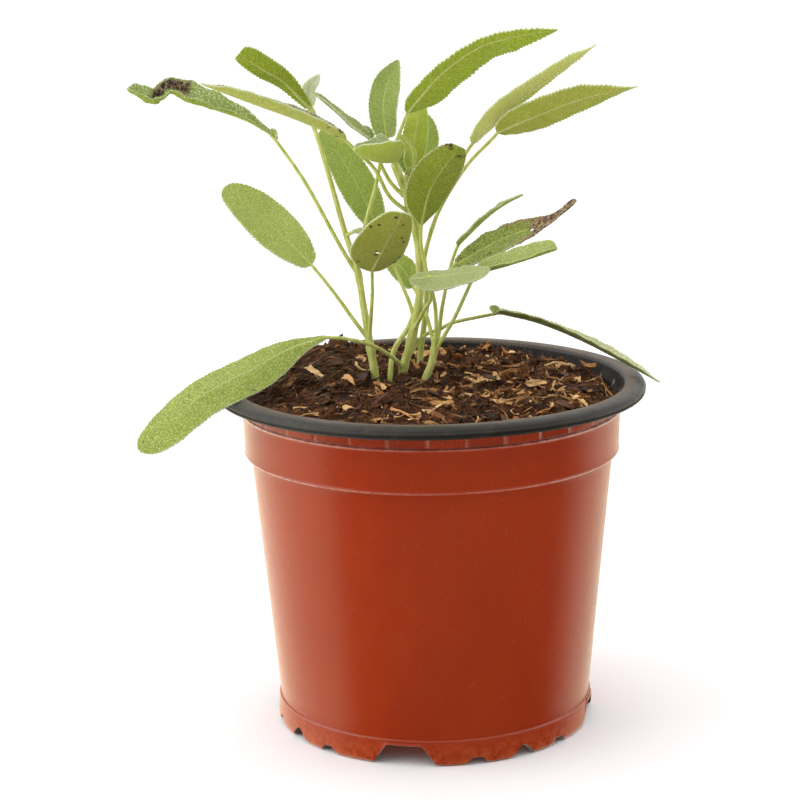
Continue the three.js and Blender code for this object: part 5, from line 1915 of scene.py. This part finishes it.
@dataclass
class Studio:
    """The floor, the lights and the camera."""

    eye: Point = (0.0, -683.75, 264.69)
    pitch: float = 0.2273
    yaw: float = -0.0149
    roll: float = -0.0166
    lens: float = 96.345
    # name, place, what it faces, width and height, and how bright its face is
    lamps: Sequence[tuple[str, Point, Point, tuple[float, float], float]] = (
        ("left_panel", (-700, -160, 380), (0, 0, 90), (800, 720), 2.0),
        ("right_panel", (760, 60, 380), (0, 0, 110), (420, 620), 0.8),
    )
    # brightness of the room in front of the plant and behind it, and what the ceiling adds
    room: tuple[float, float, float] = (0.44, 0.95, 0.8)
    # the low room that glossy walls mirror: dark in front, a panel to the left, softer light to the right
    mirrored: tuple[float, float, float] = (0.03, 1.95, 1.45)
    mirrored_tint: tuple[float, float, float] = (1.0, 0.92, 0.7)
    # bearings from the front between which the panel ends and the softer light begins
    left_side: tuple[float, float] = (math.radians(-80), math.radians(-55))
    right_side: tuple[float, float] = (math.radians(84), math.radians(122))

    def camera(self) -> None:
        """Set the camera where the photograph was taken from."""
        p, y, r = self.pitch, self.yaw, self.roll
        ahead = np.array([math.sin(y) * math.cos(p), math.cos(y) * math.cos(p), -math.sin(p)])
        right = np.array([math.cos(y), -math.sin(y), 0.0])
        up = np.cross(right, ahead)
        right, up = right * math.cos(r) + up * math.sin(r), -right * math.sin(r) + up * math.cos(r)
        data = bpy.data.cameras.new("camera")
        data.sensor_width, data.lens = 36.0, self.lens
        data.clip_start, data.clip_end = 0.05, 100.0
        camera = bpy.data.objects.new("camera", data)
        bpy.context.scene.collection.objects.link(camera)
        camera.matrix_world = Matrix.Translation(Vector(in_frame(np.array(self.eye)))) @ Matrix(
            np.column_stack([right, up, -ahead]).tolist()
        ).to_4x4()
        bpy.context.scene.camera = camera

    def floor(self) -> None:
        """A plain pale floor."""
        deselect_all()
        bpy.ops.mesh.primitive_plane_add(size=80.0, location=(0, 0, -0.0002))
        bpy.ops.object.transform_apply(location=True)
        floor = bpy.context.object
        floor.name = "floor"
        n = Nodes("pale_floor")
        n.constants(Base_Color=(0.93, 0.93, 0.93, 1), Roughness=0.9, Specular_IOR_Level=0.1)
        floor.data.materials.append(n.material)
        floor.visible_glossy = False

    def lights(self) -> None:
        """Large soft panels and a pale room, brighter behind the plant than in front of it."""
        for name, at, to, (wide, high), bright in self.lamps:
            data = bpy.data.lights.new(name, "AREA")
            data.shape, data.size, data.size_y = "RECTANGLE", wide * MM, high * MM
            data.energy = bright * math.pi * data.size * data.size_y
            lamp = bpy.data.objects.new(name, data)
            bpy.context.scene.collection.objects.link(lamp)
            place, aim = Vector(in_frame(np.array(at))), Vector(in_frame(np.array(to)))
            turn = (aim - place).to_track_quat("-Z", "Y").to_matrix().to_4x4()
            lamp.matrix_world = Matrix.Translation(place) @ turn
        world = bpy.data.worlds.new("room")
        bpy.context.scene.world = world
        world.use_nodes = True
        tree = world.node_tree
        back = tree.nodes["Background"]
        place = tree.nodes.new("ShaderNodeTexCoord")
        split = tree.nodes.new("ShaderNodeSeparateXYZ")
        tree.links.new(place.outputs["Generated"], split.inputs[0])

        def step(
            source: NodeSocket, low: float, high: float, out: tuple[float, float]
        ) -> NodeSocket:
            """Stretch low..high of a number to out, clamped and smooth."""
            node = tree.nodes.new("ShaderNodeMapRange")
            node.interpolation_type = "SMOOTHSTEP"
            stops = {"From Min": low, "From Max": high, "To Min": out[0], "To Max": out[1]}
            for name, value in stops.items():
                node.inputs[name].default_value = value
            tree.links.new(source, node.inputs["Value"])
            return node.outputs["Result"]

        def combine(operation: str, *sources: NodeSocket) -> NodeSocket:
            """Combine two numbers."""
            node = tree.nodes.new("ShaderNodeMath")
            node.operation = operation
            for socket, source in zip(node.inputs, sources):
                tree.links.new(source, socket)
            return node.outputs[0]

        x, y, z = split.outputs
        dark, left, right = self.mirrored
        front = tree.nodes.new("ShaderNodeMath")
        front.operation = "MULTIPLY"
        front.inputs[1].default_value = -1.0
        tree.links.new(y, front.inputs[0])
        bearing = combine("ARCTAN2", x, front.outputs[0])
        low = combine(
            "ADD",
            step(bearing, *self.left_side, (left, dark)),
            step(bearing, *self.right_side, (0.0, right)),
        )
        high = combine("ADD", step(y, -0.6, 0.6, self.room[:2]), step(z, 0.15, 0.9, (0.0, self.room[2])))
        mix = tree.nodes.new("ShaderNodeMix")
        tree.links.new(step(z, -0.02, 0.0, (0.0, 1.0)), mix.inputs[0])
        tree.links.new(low, mix.inputs[2])
        tree.links.new(high, mix.inputs[3])
        tree.links.new(mix.outputs[0], back.inputs["Strength"])
        tint = tree.nodes.new("ShaderNodeMix")
        tint.data_type = "RGBA"
        tree.links.new(step(z, -0.02, 0.0, (0.0, 1.0)), tint.inputs[0])
        tint.inputs[6].default_value, tint.inputs[7].default_value = (*self.mirrored_tint, 1), (1, 1, 1, 1)
        tree.links.new(tint.outputs[2], back.inputs["Color"])
        view = bpy.context.scene.view_settings
        view.view_transform, view.look, view.exposure, view.gamma = "Standard", "None", 0.0, 1.0

    def build(self) -> None:
        """Set the stage."""
        self.camera()
        self.floor()
        self.lights()


def main() -> None:
    """Build the stage, the pot, the mix and the plant."""
    logging.basicConfig(level=logging.INFO, format="%(name)s: %(message)s")
    Studio().build()
    pot = NurseryPot()
    hand_over(pot.build(), Slot.POT, "pot")
    PottingMix(pot).build()
    SagePlant().build()
    deselect_all()


if __name__ == "__main__":
    main()
